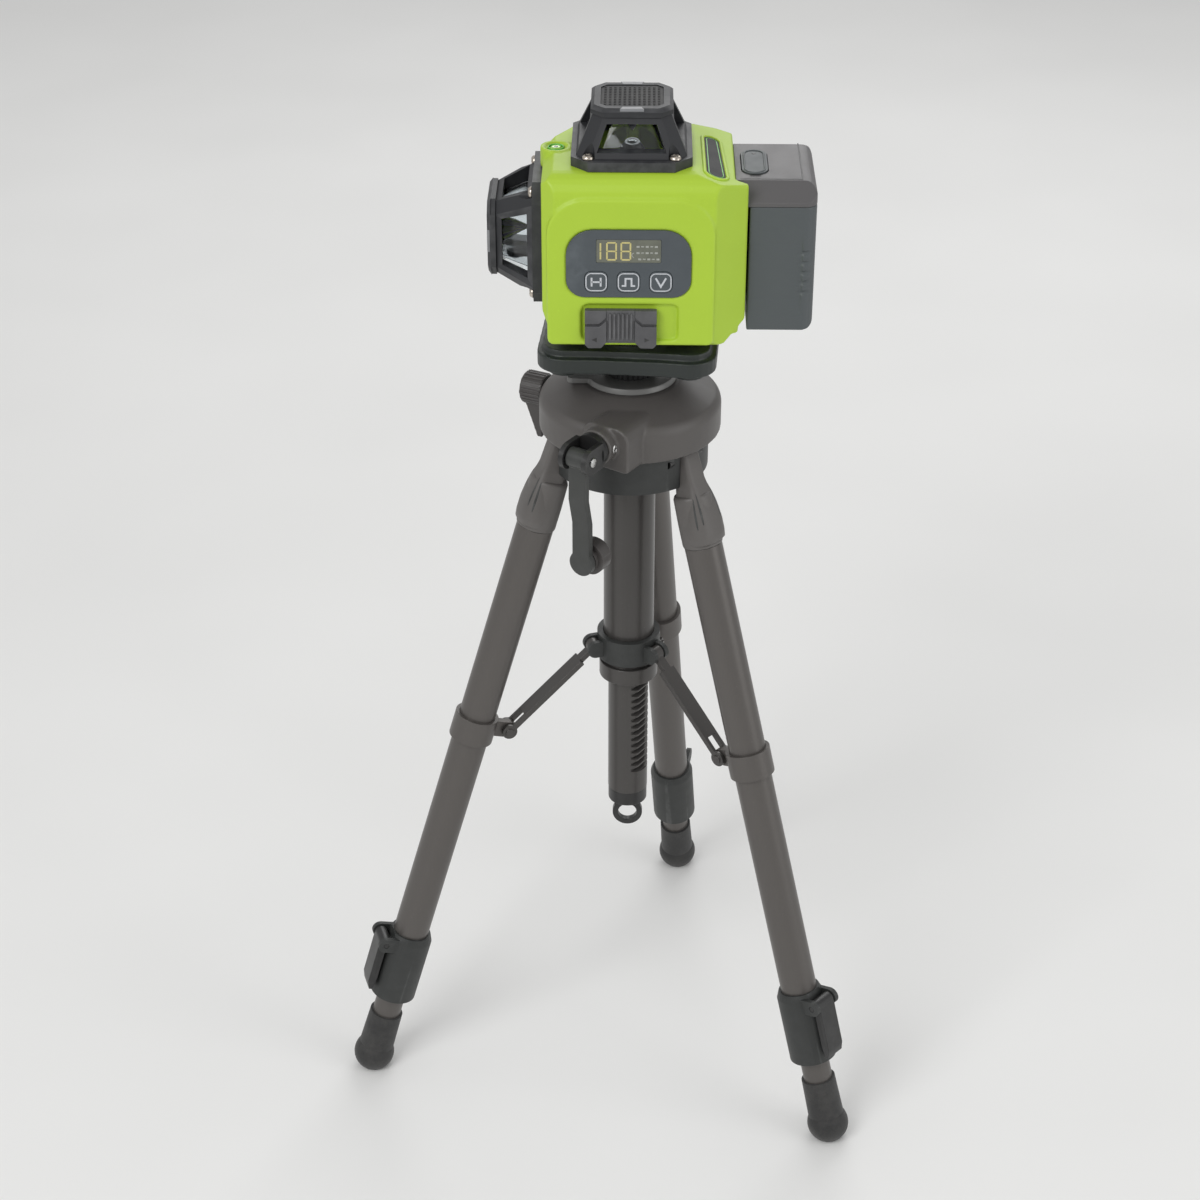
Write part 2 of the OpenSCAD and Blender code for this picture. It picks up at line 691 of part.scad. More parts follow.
module frustum(w0, d0, w1, d1, z0, z1) {
    hull() {
        translate([0, 0, z0]) linear_extrude(eps) polygon(octagon(w0, d0, 5));
        translate([0, 0, z1 - eps]) linear_extrude(eps) polygon(octagon(w1, d1, 5));
    }
}

// Width of a cage's hollow at height z
function hollow_w(z) = flange[0] - 14 - (flange[0] - 4 - cap_w) * (z + 1) / cage_h;

module cage_inside(k, z0, z1) {
    frustum(hollow_w(z0) - k, hollow_w(z0) - k, hollow_w(z1) - k, hollow_w(z1) - k, z0, z1);
}

module cage() {
    window = [[-16, 7], [16, 7], [11.5, 19], [-11.5, 19]];
    difference() {
        union() {
            linear_extrude(flange_t) polygon(octagon(flange[0], flange[1], 8));
            frustum(flange[0] - 4, flange[1] - 8, cap_w - 2, cap_w - 2, flange_t - 1, cage_h);
            translate([0, 0, cage_h - eps]) linear_extrude(cap_t - cap_edge)
                polygon(octagon(cap_w, cap_w, 6));
            frustum(cap_w, cap_w, cap_w - 2 * cap_edge, cap_w - 2 * cap_edge,
                    cage_h + cap_t - cap_edge - 2 * eps, cage_h + cap_t);
        }
        cage_inside(0, -1, cage_h - 1);
        for (a = [0, 90]) rotate([0, 0, a]) sweep_y(window, -50, 50);
        translate([0, 0, -1]) screw_places() cylinder(r = 1.4, h = 8);
        translate([0, 0, flange_t]) screw_places() cylinder(r = 3.1, h = 8);
        translate([0, 0, cage_h + cap_t - 1]) linear_extrude(2) polygon(octagon(29, 29, 3));
    }
}

module top_cage() { color("#262829") on_level() on_window(0) cage(); }
module left_cage() { color("#262829") on_level() on_window(1) cage(); }
module rear_cage() { color("#262829") on_level() on_window(2) cage(); }

module pane_set() {
    difference() {
        cage_inside(0.3, 3, cage_h - 1.2);
        cage_inside(3.3, 2, cage_h);
    }
}

module window_glass() {
    color([0.5, 0.56, 0.6, 0.4]) on_level() for (k = [0:2]) on_window(k) pane_set();
}

module cage_screw() {
    difference() {
        union() {
            translate([0, 0, flange_t]) cylinder(r = 2.8, h = 1.9);
            translate([0, 0, -3]) cylinder(r = 1.35, h = flange_t + 4);
        }
        for (a = [0, 90]) rotate([0, 0, a]) translate([0, 0, flange_t + 1.9])
            cube([3, 0.6, 1.6], center = true);
    }
}

module cage_screws() {
    color("#b9b2a8") on_level() for (k = [0:2]) on_window(k) screw_places() cage_screw();
}

module bullseye_vial() {
    color("#b8d94a") on_level() translate([vial_at[0], vial_at[1], body_h - 5.9]) {
        cylinder(r = vial_r, h = 5.4);
        translate([0, 0, 5.3]) cylinder(r1 = vial_r - 0.3, r2 = vial_r - 1, h = 0.7);
    }
}

// ---------- pendulum, seen through the windows ----------

module gimbal_ring() {
    color("silver") on_level() translate([0, 0, gimbal_z]) {
        difference() {
            tube(20.5, 17.5, -3, 3);
            rotate([0, 0, 90]) across(1.15 + run, 30);
        }
        for (s = [-1, 1]) translate([0, s * 23.4, 0]) across(1.2, 3.2);
    }
}

module pendulum_frame() {
    color("#9a9da0") on_level() difference() {
        union() {
            translate([0, 0, gimbal_z - 8]) cylinder(r = 13, h = 16);
            rotate([0, 0, 90]) translate([0, 0, gimbal_z]) across(1.15, 19.8);
            translate([-15, -10, 20]) cube([25, 25, gimbal_z - 27]);
            translate([0, 0, 11]) cylinder(r = 13, h = 9.5);
        }
        translate([0, 0, gimbal_z - 4]) cylinder(r = 6.52, h = 30);
        on_left() translate([0, 0, 3.9 - left_l]) cylinder(r = 6.52, h = 20);
        on_rear() translate([0, 0, 3.9 - rear_l]) cylinder(r = 6.52, h = 20);
    }
}

// A laser module: tube of length l that ends at height top in a window's own frame
module laser_module(top, l) {
    translate([0, 0, top - l]) cylinder(r = 6.5, h = l - 3);
    translate([0, 0, top - 3 - eps]) cylinder(r1 = 6.5, r2 = 3.5, h = 3);
}

module laser_modules() {
    color("#b08d3c") on_level() {
        on_top() laser_module(4, 26);
        on_left() laser_module(4, left_l);
        on_rear() laser_module(4, rear_l);
    }
}

module cone_mirror() {
    translate([0, 0, cone_near]) cylinder(r1 = 0.5, r2 = 9, h = cone_far - cone_near);
    translate([0, 0, cone_far - eps]) cylinder(r = 9, h = cage_h - 1 - cone_far + eps);
}

module cone_mirrors() {
    color("#dfe3e6") on_level() for (k = [0:2]) on_window(k) cone_mirror();
}

module circuit_board() {
    color("#1f6b3a") on_level() {
        translate([-34, -body_y + wall + 2.6, 24]) cube([62, 1.6, 38]);
        translate([-10, -body_y + wall + 4.2 - eps, 40]) cube([12, 2, 12]);
        for (x = key_x) translate([x - 3, -body_y + wall + 0.4, key_z - 3]) cube([6, 2.2 + eps, 6]);
    }
}

// ---------- battery pack ----------

// Outline of the pack seen from above, from x0 to its rounded outer side
module battery_plan(x0) {
    y0 = battery_y[0];
    y1 = battery_y[1];
    polygon(concat([[x0, y0], [x0, y1]], arc([battery_x1 - 6, y1 - 6], 6, 90, 0),
                   arc([battery_x1 - 6, y0 + 6], 6, 0, -90)));
}

// Everything left of the pack's outer side, with its top and bottom edges rounded
module battery_envelope() {
    sweep_y(concat([[shelf_x - 9, battery_z[1]]], arc([battery_x1 - 6, battery_z[1] - 6], 6, 90, 0),
                   arc([battery_x1 - 4, battery_z[0] + 4], 4, 0, -90), [[shelf_x - 9, battery_z[0]]]),
            -200, 200);
}

// Room for the cells; it is lower at the front, under the cap's slope
module battery_inside() {
    w = battery_w - 4;
    d = battery_y[1] - battery_y[0] - 4;
    h = battery_z[1] - battery_z[0] - 6;
    translate([battery_x + 2, battery_y[0] + 2, battery_z[0] + 2]) {
        cube([w, d, h + 4 - battery_cap_h]);
        translate([0, cap_slope - 3.4, 0]) cube([w, d - cap_slope + 3.4, h]);
    }
}

module battery_case() {
    scoop = [[-1, 54.5], [0, 54.5], [0.8, 45], [0.8, 18], [0, 9], [-1, 9]];
    color("#50555a") on_level() difference() {
        union() {
            intersection() {
                translate([0, 0, battery_z[0]])
                    linear_extrude(battery_z[1] - battery_z[0] - battery_cap_h) battery_plan(battery_x);
                battery_envelope();
            }
            translate([body_right - 5, -5, 20]) cube([7, 30, 30]);
        }
        battery_inside();
        translate([battery_x - 1, 0, 0]) rotate([90, 0, 90]) linear_extrude(battery_w - 5)
            polygon([for (p = scoop) p + [battery_y[0], 0]]);
        for (k = [0:4], y = battery_y) translate([battery_x1, y, 22 + k * 5]) rotate([0, -8, 0])
            cube([18, 2.4, 1.8], center = true);
    }
}

module battery_cap() {
    x0 = shelf_x + 0.4;
    top = battery_z[1];
    color("#5a5c60") on_level() difference() {
        intersection() {
            translate([0, 0, top - battery_cap_h]) linear_extrude(battery_cap_h) battery_plan(x0);
            translate([0, 0, top - battery_cap_h]) rotate([90, 0, 90]) linear_extrude(400, center = true)
                polygon([[battery_y[0], 0], [battery_y[0], 2], [battery_y[0] + cap_slope, battery_cap_h],
                         [battery_y[1] - 4, battery_cap_h], [battery_y[1], 6], [battery_y[1], 0]]);
            battery_envelope();
        }
        battery_inside();
        translate([flap_at[0] - 0.2, flap_at[1] - 0.2, top - 1.6]) linear_extrude(5)
            polygon(soft_box([0, 0], [12.6, 31.4], 6.2));
        translate([flap_at[0] + 4.4, 5, top - 5]) cube([3.4, 9.2, 8]);
        // lines round the flat part of the cap's top
        translate([battery_x1 - 7.3, -12, top - 0.6]) cube([0.6, 47, 1]);
        translate([x0 + 2, -12, top - 0.6]) cube([battery_x1 - 8.7 - x0, 0.6, 1]);
    }
}

module usb_flap() {
    color("#3d4043") on_level() translate([flap_at[0], flap_at[1], battery_z[1] - 1.5]) {
        linear_extrude(2.1) polygon(soft_box([0, 0], [12.2, 31], 6));
        translate([3.6, 0, 2.1]) rotate([0, 90, 0]) cylinder(r = 0.5, h = 5);
    }
}

module battery_cells() {
    color("#3f7fb5") on_level() for (k = [0, 1])
        translate([battery_x + battery_w / 2, battery_y[0] + 17 + k * 24, battery_z[0] + 3])
            cylinder(r = 9.2, h = 64);
}

// ---------- nodes ----------

head_crown();
head_base();
guide_tube();
leg_hinge_pins();
brace_collar();
center_column();
column_hook();
top_plate();
mounting_stud();
lock_collar();
crank_shaft();
crank_arm();
crank_knob();
column_lock_knob();
for (i = [1, 2, 3]) {
    brace_strut(i);
    leg_knuckle(i);
    leg_upper_tube(i);
    leg_clamp(i);
    leg_lever(i);
    leg_lower_tube(i);
    leg_foot(i);
}
base_plate();
base_insert();
turntable();
body_shell();
bottom_cover();
control_panel();
key(0);  // key_horizontal
key(1);  // key_pulse
key(2);  // key_vertical
lock_switch();
top_cage();
left_cage();
rear_cage();
window_glass();
cage_screws();
bullseye_vial();
gimbal_ring();
pendulum_frame();
laser_modules();
cone_mirrors();
circuit_board();
battery_case();
battery_cap();
usb_flap();
battery_cells();
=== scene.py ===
"""Laser level on tripod: materials, fine detail, floor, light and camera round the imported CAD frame.

Everything is in metres in the row's frame. Places come from the frame's boxes and joints; sizes that the
frame does not hold are given in millimetres through mm().
"""
import json
import math

import bmesh
import bpy
from mathutils import Matrix, Vector


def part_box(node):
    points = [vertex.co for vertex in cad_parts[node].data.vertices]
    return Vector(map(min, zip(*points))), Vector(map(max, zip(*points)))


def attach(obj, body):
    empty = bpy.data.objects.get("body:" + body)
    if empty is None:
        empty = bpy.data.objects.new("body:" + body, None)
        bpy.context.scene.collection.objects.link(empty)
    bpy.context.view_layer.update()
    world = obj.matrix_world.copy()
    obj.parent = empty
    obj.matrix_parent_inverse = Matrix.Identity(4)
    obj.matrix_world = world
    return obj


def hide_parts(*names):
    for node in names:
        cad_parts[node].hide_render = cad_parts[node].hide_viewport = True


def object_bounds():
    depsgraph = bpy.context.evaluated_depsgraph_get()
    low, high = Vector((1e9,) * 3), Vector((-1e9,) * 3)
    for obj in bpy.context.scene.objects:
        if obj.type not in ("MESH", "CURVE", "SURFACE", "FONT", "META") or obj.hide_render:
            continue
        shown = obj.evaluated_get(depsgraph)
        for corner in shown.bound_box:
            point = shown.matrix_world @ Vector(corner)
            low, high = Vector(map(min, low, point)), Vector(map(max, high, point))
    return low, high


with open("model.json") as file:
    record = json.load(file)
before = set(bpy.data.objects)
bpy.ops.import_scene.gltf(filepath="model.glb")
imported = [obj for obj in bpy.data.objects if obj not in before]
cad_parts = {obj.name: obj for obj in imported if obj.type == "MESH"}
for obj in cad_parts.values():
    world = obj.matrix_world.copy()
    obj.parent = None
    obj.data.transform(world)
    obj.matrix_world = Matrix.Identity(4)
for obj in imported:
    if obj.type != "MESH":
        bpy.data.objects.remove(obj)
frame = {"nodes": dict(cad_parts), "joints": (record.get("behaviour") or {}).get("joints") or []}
cad_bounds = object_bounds()
NODES = frame["nodes"]
JOINTS = {j["name"]: j for j in frame["joints"]}


def mm(*values):
    """Millimetres to metres: one number, or a Vector of three."""
    return values[0] / 1000 if len(values) == 1 else Vector(v / 1000 for v in values)


# ---------------------------------------------------------------- frames to build in

def basis(origin, x, z):
    """Matrix whose columns are x, z cross x, z, at origin."""
    z, x = Vector(z).normalized(), Vector(x).normalized()
    y = z.cross(x).normalized()
    m = Matrix((y.cross(z), y, z)).transposed().to_4x4()
    m.translation = Vector(origin)
    return m


def joint_at(name):
    return Vector(JOINTS[name]["pos_m"])


def joint_axis(name):
    return Vector(JOINTS[name]["axis"])


AXIS = joint_at("level_turn")
SHELL_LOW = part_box("body_shell")[0]
LEVEL = Matrix.Translation((AXIS.x, AXIS.y, SHELL_LOW.z))
TOP_LOW, TOP_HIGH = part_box("top_cage")
LEFT_LOW, LEFT_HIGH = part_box("left_cage")
REAR_LOW, REAR_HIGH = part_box("rear_cage")
TOP = Matrix.Translation((AXIS.x, AXIS.y, TOP_LOW.z))
LEFT = basis((LEFT_HIGH.x, AXIS.y, (LEFT_LOW.z + LEFT_HIGH.z) / 2), (0, 0, 1), (-1, 0, 0))
REAR = basis((AXIS.x, REAR_LOW.y, (REAR_LOW.z + REAR_HIGH.z) / 2), (1, 0, 0), (0, 1, 0))
WINDOWS = {"top": TOP, "left": LEFT, "rear": REAR}
CAGE_H = TOP_HIGH.z - TOP_LOW.z


# ---------------------------------------------------------------- materials

def new_material(name, colour, rough, **sockets):
    """A Principled material; every constant sits on the shader's own socket."""
    m = bpy.data.materials.new(name)
    m.use_nodes = True
    tree = m.node_tree
    shader = tree.nodes["Principled BSDF"]
    shader.inputs["Base Color"].default_value = (*colour, 1)
    shader.inputs["Roughness"].default_value = rough
    for key, value in sockets.items():
        shader.inputs[key.replace("_", " ")].default_value = value
    m.diffuse_color = (*colour, 1)
    return m, tree, shader


def coords(tree, stretch=(1, 1, 1), turn=(0, 0, 0)):
    where = tree.nodes.new("ShaderNodeTexCoord")
    mapping = tree.nodes.new("ShaderNodeMapping")
    mapping.inputs["Scale"].default_value = stretch
    mapping.inputs["Rotation"].default_value = turn
    tree.links.new(where.outputs["Object"], mapping.inputs["Vector"])
    return mapping.outputs["Vector"]


def noise(tree, where, scale, detail=3.0, rough=0.55):
    n = tree.nodes.new("ShaderNodeTexNoise")
    n.inputs["Scale"].default_value = scale
    n.inputs["Detail"].default_value = detail
    n.inputs["Roughness"].default_value = rough
    tree.links.new(where, n.inputs["Vector"])
    return n.outputs["Fac"]


def remap(tree, value, low, high, to_low, to_high):
    n = tree.nodes.new("ShaderNodeMapRange")
    for key, number in zip(("From Min", "From Max", "To Min", "To Max"), (low, high, to_low, to_high)):
        n.inputs[key].default_value = number
    tree.links.new(value, n.inputs["Value"])
    return n.outputs["Result"]


def blend_colour(tree, factor, a, b):
    n = tree.nodes.new("ShaderNodeMix")
    n.data_type = "RGBA"
    for socket, value in ((n.inputs[6], a), (n.inputs[7], b)):
        if isinstance(value, bpy.types.NodeSocket):
            tree.links.new(value, socket)
        else:
            socket.default_value = (*value, 1)
    tree.links.new(factor, n.inputs[0])
    return n.outputs[2]


def bump(tree, shader, height, strength, distance):
    n = tree.nodes.new("ShaderNodeBump")
    n.inputs["Strength"].default_value = strength
    n.inputs["Distance"].default_value = distance
    tree.links.new(height, n.inputs["Height"])
    tree.links.new(n.outputs["Normal"], shader.inputs["Normal"])


def edges(tree, low=0.52, high=0.62):
    """0 on flats, 1 on convex edges, which are made lighter as rubbed wear and as a painted highlight."""
    g = tree.nodes.new("ShaderNodeNewGeometry")
    return remap(tree, g.outputs["Pointiness"], low, high, 0.0, 1.0)


def product(tree, a, b):
    n = tree.nodes.new("ShaderNodeMath")
    n.operation = "MULTIPLY"
    tree.links.new(a, n.inputs[0])
    tree.links.new(b, n.inputs[1])
    return n.outputs[0]


def shade(colour, k):
    return tuple(min(1.0, c * k) for c in colour)


def plastic(name, colour, rough=0.5, grain=2600.0, depth=0.03, mottle=0.035, wear_and_highlight=0.3, **sockets):
    """Moulded plastic: pebbled grain, slight colour drift, handling marks, and lighter convex edges that
    are partly rubbed wear and partly a painted highlight.
    """
    m, tree, shader = new_material(name, colour, rough, **sockets)
    where = coords(tree)
    drift = remap(tree, noise(tree, where, 38.0, 4.0), 0.3, 0.7, 0.0, 1.0)
    base = blend_colour(tree, drift, shade(colour, 1 - mottle), shade(colour, 1 + mottle))
    speck = remap(tree, noise(tree, where, 900.0, 2.0), 0.62, 0.75, 0.0, 0.25)
    base = blend_colour(tree, speck, base, shade(colour, 1.25))
    # Painted highlight mixed with rubbed wear: convex edges are made lighter, in patches.
    rubbed_and_highlit = product(tree, edges(tree), remap(tree, noise(tree, where, 160.0), 0.35, 0.65, 0.2, 1.0))
    base = blend_colour(tree, rubbed_and_highlit, base, tuple(c + (0.5 - c) * 0.25 * wear_and_highlight for c in shade(colour, 1.3)))
    tree.links.new(base, shader.inputs["Base Color"])
    marks = noise(tree, where, 75.0, 5.0, 0.65)
    tree.links.new(remap(tree, marks, 0.3, 0.7, rough - 0.04, rough + 0.04), shader.inputs["Roughness"])
    bump(tree, shader, noise(tree, where, grain, 2.0), 0.35, mm(depth))
    return m


def coated_metal(name, colour, rough=0.36, turn=(0, 0, 0), metallic=0.35):
    """Anodised or painted tube: fine drawing lines along it and a few bright specks."""
    m, tree, shader = new_material(name, colour, rough, Metallic=metallic)
    where = coords(tree)
    lines = noise(tree, coords(tree, (1500, 1500, 12), turn), 1.0, 3.0)
    drift = remap(tree, noise(tree, where, 22.0, 3.0), 0.3, 0.7, 0.0, 1.0)
    base = blend_colour(tree, drift, shade(colour, 0.99), shade(colour, 1.01))
    base = blend_colour(tree, remap(tree, lines, 0.3, 0.7, 0.0, 0.3), base, shade(colour, 1.15))
    worn = remap(tree, noise(tree, where, 900.0, 2.0), 0.66, 0.78, 0.0, 0.12)
    base = blend_colour(tree, worn, base, (0.24, 0.23, 0.22))
    tree.links.new(base, shader.inputs["Base Color"])
    smear = noise(tree, where, 60.0, 3.0, 0.5)
    tree.links.new(remap(tree, smear, 0.3, 0.7, rough - 0.012, rough + 0.012), shader.inputs["Roughness"])
    bump(tree, shader, lines, 0.10, mm(0.02))
    return m


def bare_metal(name, colour, rough=0.25, scratch=420.0):
    m, tree, shader = new_material(name, colour, rough, Metallic=1.0)
    where = coords(tree)
    scratches = noise(tree, coords(tree, (1, 1, 9)), scratch, 4.0, 0.7)
    tree.links.new(remap(tree, scratches, 0.3, 0.7, rough * 0.6, rough * 1.7), shader.inputs["Roughness"])
    stain = remap(tree, noise(tree, where, 90.0, 4.0), 0.4, 0.7, 0.0, 1.0)
    base = blend_colour(tree, stain, colour, shade(colour, 0.8))
    tree.links.new(base, shader.inputs["Base Color"])
    bump(tree, shader, scratches, 0.15, mm(0.02))
    return m


def rubber(name, colour):
    m, tree, shader = new_material(name, colour, 0.72, Sheen_Weight=0.15)
    where = coords(tree)
    fine = noise(tree, where, 1800.0, 4.0, 0.7)
    dust = remap(tree, noise(tree, where, 70.0, 5.0, 0.7), 0.45, 0.75, 0.0, 0.5)
    tree.links.new(blend_colour(tree, dust, colour, (0.075, 0.072, 0.068)), shader.inputs["Base Color"])
    tree.links.new(remap(tree, fine, 0.3, 0.7, 0.62, 0.82), shader.inputs["Roughness"])
    bump(tree, shader, fine, 0.4, mm(0.05))
    return m


def clear(name, colour, rough=0.02, **sockets):
    m, tree, shader = new_material(name, colour, rough, Transmission_Weight=1.0, IOR=1.46, **sockets)
    where = coords(tree)
    film = noise(tree, where, 120.0, 4.0, 0.6)
    tree.links.new(remap(tree, film, 0.45, 0.75, rough, rough + 0.09), shader.inputs["Roughness"])
    return m


def printed(name, colour, rough=0.4, glow=0.0):
    """Ink: slightly uneven in tone."""
    m, tree, shader = new_material(name, colour, rough)
    where = coords(tree)
    uneven = remap(tree, noise(tree, where, 1400.0, 3.0), 0.35, 0.7, 0.0, 1.0)
    base = blend_colour(tree, uneven, shade(colour, 0.9), shade(colour, 1.06))
    tree.links.new(base, shader.inputs["Base Color"])
    if glow:
        tree.links.new(base, shader.inputs["Emission Color"])
        shader.inputs["Emission Strength"].default_value = glow
    bump(tree, shader, uneven, 0.1, mm(0.01))
    return m


def mirror(name, colour):
    m, tree, shader = new_material(name, colour, 0.06, Metallic=1.0)
    where = coords(tree)
    haze = noise(tree, where, 240.0, 4.0)
    tree.links.new(remap(tree, haze, 0.4, 0.7, 0.04, 0.16), shader.inputs["Roughness"])
    return m


M = {
    "head": plastic("head_plastic", (0.083, 0.077, 0.073), 0.44),
    "core": plastic("core_plastic", (0.026, 0.028, 0.027), 0.5),
    "knuckle": plastic("knuckle_plastic", (0.105, 0.098, 0.093), 0.47),
    "black": plastic("black_plastic", (0.016, 0.016, 0.016), 0.36),
    "arm": plastic("arm_plastic", (0.034, 0.036, 0.034), 0.36),
    "knob": plastic("knob_plastic", (0.06, 0.055, 0.053), 0.4),
    "steel": bare_metal("steel", (0.62, 0.62, 0.61), 0.28),
    "pin": bare_metal("pin_steel", (0.10, 0.10, 0.10), 0.35),
    "chrome": bare_metal("chrome", (0.80, 0.80, 0.81), 0.12),
    "plate": coated_metal("plate_metal", (0.17, 0.17, 0.165), 0.42),
    "rubber": rubber("foot_rubber", (0.022, 0.022, 0.022)),
    "foot": plastic("foot_plastic", (0.018, 0.023, 0.021), 0.42),
    "brass": bare_metal("brass", (0.72, 0.52, 0.24), 0.3),
    "lime": plastic("lime_plastic", (0.40, 0.585, 0.035), 0.46, mottle=0.015, wear_and_highlight=0.4),
    "panel": plastic("panel_plastic", (0.062, 0.074, 0.083), 0.34, mottle=0.015, wear_and_highlight=0.1),
    "switch": plastic("switch_plastic", (0.07, 0.07, 0.074), 0.45),
    "cage": plastic("cage_plastic", (0.017, 0.018, 0.021), 0.5, grain=1500.0, depth=0.09),
    "pad": rubber("pad_rubber", (0.016, 0.016, 0.017)),
    "tab": plastic("tab_plastic", (0.19, 0.195, 0.205), 0.4),
    "glass": clear("window_glass", (0.86, 0.9, 0.92)),
    "lens": clear("lens_glass", (0.9, 0.97, 0.95), 0.01),
    "nickel": bare_metal("screw_nickel", (0.60, 0.54, 0.47), 0.22),
    "liquid": plastic("vial_liquid", (0.50, 0.72, 0.08), 0.12, mottle=0.02, Coat_Weight=0.6),
    "cast": bare_metal("gimbal_metal", (0.50, 0.50, 0.50), 0.42),
    "ring": bare_metal("turntable_metal", (0.62, 0.63, 0.64), 0.26),
    "laser": coated_metal("laser_metal", (0.035, 0.034, 0.036), 0.3, metallic=0.5),
    "mirror": mirror("mirror", (0.88, 0.89, 0.9)),
    "board": plastic("board_mask", (0.01, 0.11, 0.04), 0.3, mottle=0.15),
    "battery": plastic("battery_plastic", (0.075, 0.086, 0.09), 0.48, mottle=0.02),
    "battery_cap": plastic("battery_cap_plastic", (0.098, 0.094, 0.096), 0.45, mottle=0.02),
    "cell": plastic("cell_wrap", (0.03, 0.14, 0.4), 0.25),
    "ink": printed("key_ink", (0.55, 0.57, 0.6), 0.4),
    "lcd": plastic("lcd_back", (0.115, 0.12, 0.095), 0.16, mottle=0.05, wear_and_highlight=0.0),
    "digit": printed("lcd_digit", (0.52, 0.46, 0.19), 0.35, 0.1),
    "mark": printed("lcd_mark", (0.36, 0.37, 0.34), 0.4),
    "label": plastic("label_black", (0.010, 0.010, 0.011), 0.5, wear_and_highlight=0.0, Specular_IOR_Level=0.2),
    "label_green": printed("label_green", (0.12, 0.50, 0.06), 0.3),
}


def bronze(i):
    """The legs' coat, with its drawing lines turned along leg i."""
    down = joint_axis(f"leg_{i}_extend")
    turn = down.to_track_quat("Z", "Y").inverted().to_euler()
    return coated_metal(f"bronze_tube_{i}", (0.105, 0.097, 0.091), 0.36, tuple(turn))


M["bronze"] = coated_metal("bronze_tube", (0.070, 0.066, 0.063), 0.30)
for leg in (1, 2, 3):
    M[f"bronze_{leg}"] = bronze(leg)


# ---------------------------------------------------------------- mesh tools

def finish_mesh(name, bm, material, body, replaces=(), bevel=0.0, segments=2, angle=32.0):
    """Turns bm into a piece that rides on a body, with rounded edges."""
    bmesh.ops.recalc_face_normals(bm, faces=bm.faces)
    mesh = bpy.data.meshes.new(name)
    bm.to_mesh(mesh)
    bm.free()
    piece = bpy.data.objects.new(name, mesh)
    bpy.context.scene.collection.objects.link(piece)
    mesh.materials.append(M[material])
    mesh.polygons.foreach_set("use_smooth", [True] * len(mesh.polygons))
    soften(piece, bevel, segments, angle)
    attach(piece, body)
    if replaces:
        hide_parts(*replaces)
    return piece


def soften(piece, bevel, segments=2, angle=32.0):
    if bevel:
        b = piece.modifiers.new("edge_round", "BEVEL")
        b.width = mm(bevel)
        b.segments = segments
        b.limit_method = "ANGLE"
        b.angle_limit = math.radians(angle)
        b.use_clamp_overlap = True
        b.miter_outer = "MITER_ARC"
    w = piece.modifiers.new("face_normals", "WEIGHTED_NORMAL")
    w.keep_sharp = True
    w.weight = 80


def arc(cx, cy, r, a0, a1, n=8):
    return [(cx + r * math.cos(math.radians(a0 + (a1 - a0) * k / n)),
             cy + r * math.sin(math.radians(a0 + (a1 - a0) * k / n))) for k in range(n + 1)]


def rounded(x0, y0, x1, y1, r, n=8):
    """Outline of a rectangle with round corners.

    r is one radius, or those of the corners at the top right, top left, low left and low right.
    """
    a, b, c, d = r if isinstance(r, (list, tuple)) else (r, r, r, r)
    return (arc(x1 - a, y1 - a, a, 0, 90, n) + arc(x0 + b, y1 - b, b, 90, 180, n)
            + arc(x0 + c, y0 + c, c, 180, 270, n) + arc(x1 - d, y0 + d, d, 270, 360, n))


def octagon(w, d, c):
    w, d = w / 2, d / 2
    return [(w, d - c), (w - c, d), (c - w, d), (-w, d - c),
            (-w, c - d), (c - w, -d), (w - c, -d), (w, c - d)]


def prism(bm, at, outline, z0, z1, outline_top=None):
    """Adds a closed prism in the frame `at`, outline in millimetres, z0 to z1 along local Z."""
    low = [bm.verts.new(at @ mm(x, y, z0)) for x, y in outline]
    high = [bm.verts.new(at @ mm(x, y, z1)) for x, y in (outline_top or outline)]
    n = len(low)
    bm.faces.new(low[::-1])
    bm.faces.new(high)
    for k in range(n):
        bm.faces.new((low[k], low[(k + 1) % n], high[(k + 1) % n], high[k]))


def lathe(bm, at, profile, n=48, closed=True):
    """Turns a profile of (radius, height) in millimetres about the local Z of `at`."""
    rings = []
    for r, z in profile:
        if r < 1e-6:
            rings.append([bm.verts.new(at @ mm(0, 0, z))])
        else:
            rings.append([bm.verts.new(at @ mm(r * math.cos(2 * math.pi * k / n),
                                               r * math.sin(2 * math.pi * k / n), z)) for k in range(n)])
    pairs = list(zip(rings, rings[1:]))
    if closed and len(rings[0]) > 1 and len(rings[-1]) > 1:
        pairs.append((rings[-1], rings[0]))
    for a, b in pairs:
        for k in range(n):
            j = (k + 1) % n
            corners = [a[k % len(a)], a[j % len(a)], b[j % len(b)], b[k % len(b)]]
            corners = [v for i, v in enumerate(corners) if v not in corners[:i]]
            if len(corners) > 2:
                bm.faces.new(corners)


def stroke(bm, at, points, width, z0, z1):
    """A printed line of even width through 2-D points, as a thin prism with mitred corners."""
    left, right = [], []
    closed = points[0] == points[-1]
    pts = points[:-1] if closed else points
    n = len(pts)
    for k, p in enumerate(pts):
        a = pts[k - 1] if (k or closed) else None
        b = pts[(k + 1) % n] if (k < n - 1 or closed) else None
        d1 = (Vector(p) - Vector(a)).normalized() if a else (Vector(b) - Vector(p)).normalized()
        d2 = (Vector(b) - Vector(p)).normalized() if b else d1
        t = (d1 + d2).normalized()
        side = Vector((-t.y, t.x)) * (width / 2) / max(0.35, t.dot(d1))
        left.append(Vector(p) + side)
        right.append(Vector(p) - side)
    count = n if closed else n - 1
    for k in range(count):
        j = (k + 1) % n
        quad = [left[k], right[k], right[j], left[j]]
        low = [bm.verts.new(at @ mm(q.x, q.y, z0)) for q in quad]
        high = [bm.verts.new(at @ mm(q.x, q.y, z1)) for q in quad]
        bm.faces.new(low[::-1])
        bm.faces.new(high)
        for i in range(4):
            bm.faces.new((low[i], low[(i + 1) % 4], high[(i + 1) % 4], high[i]))


# ---------------------------------------------------------------- carried-over CAD nodes

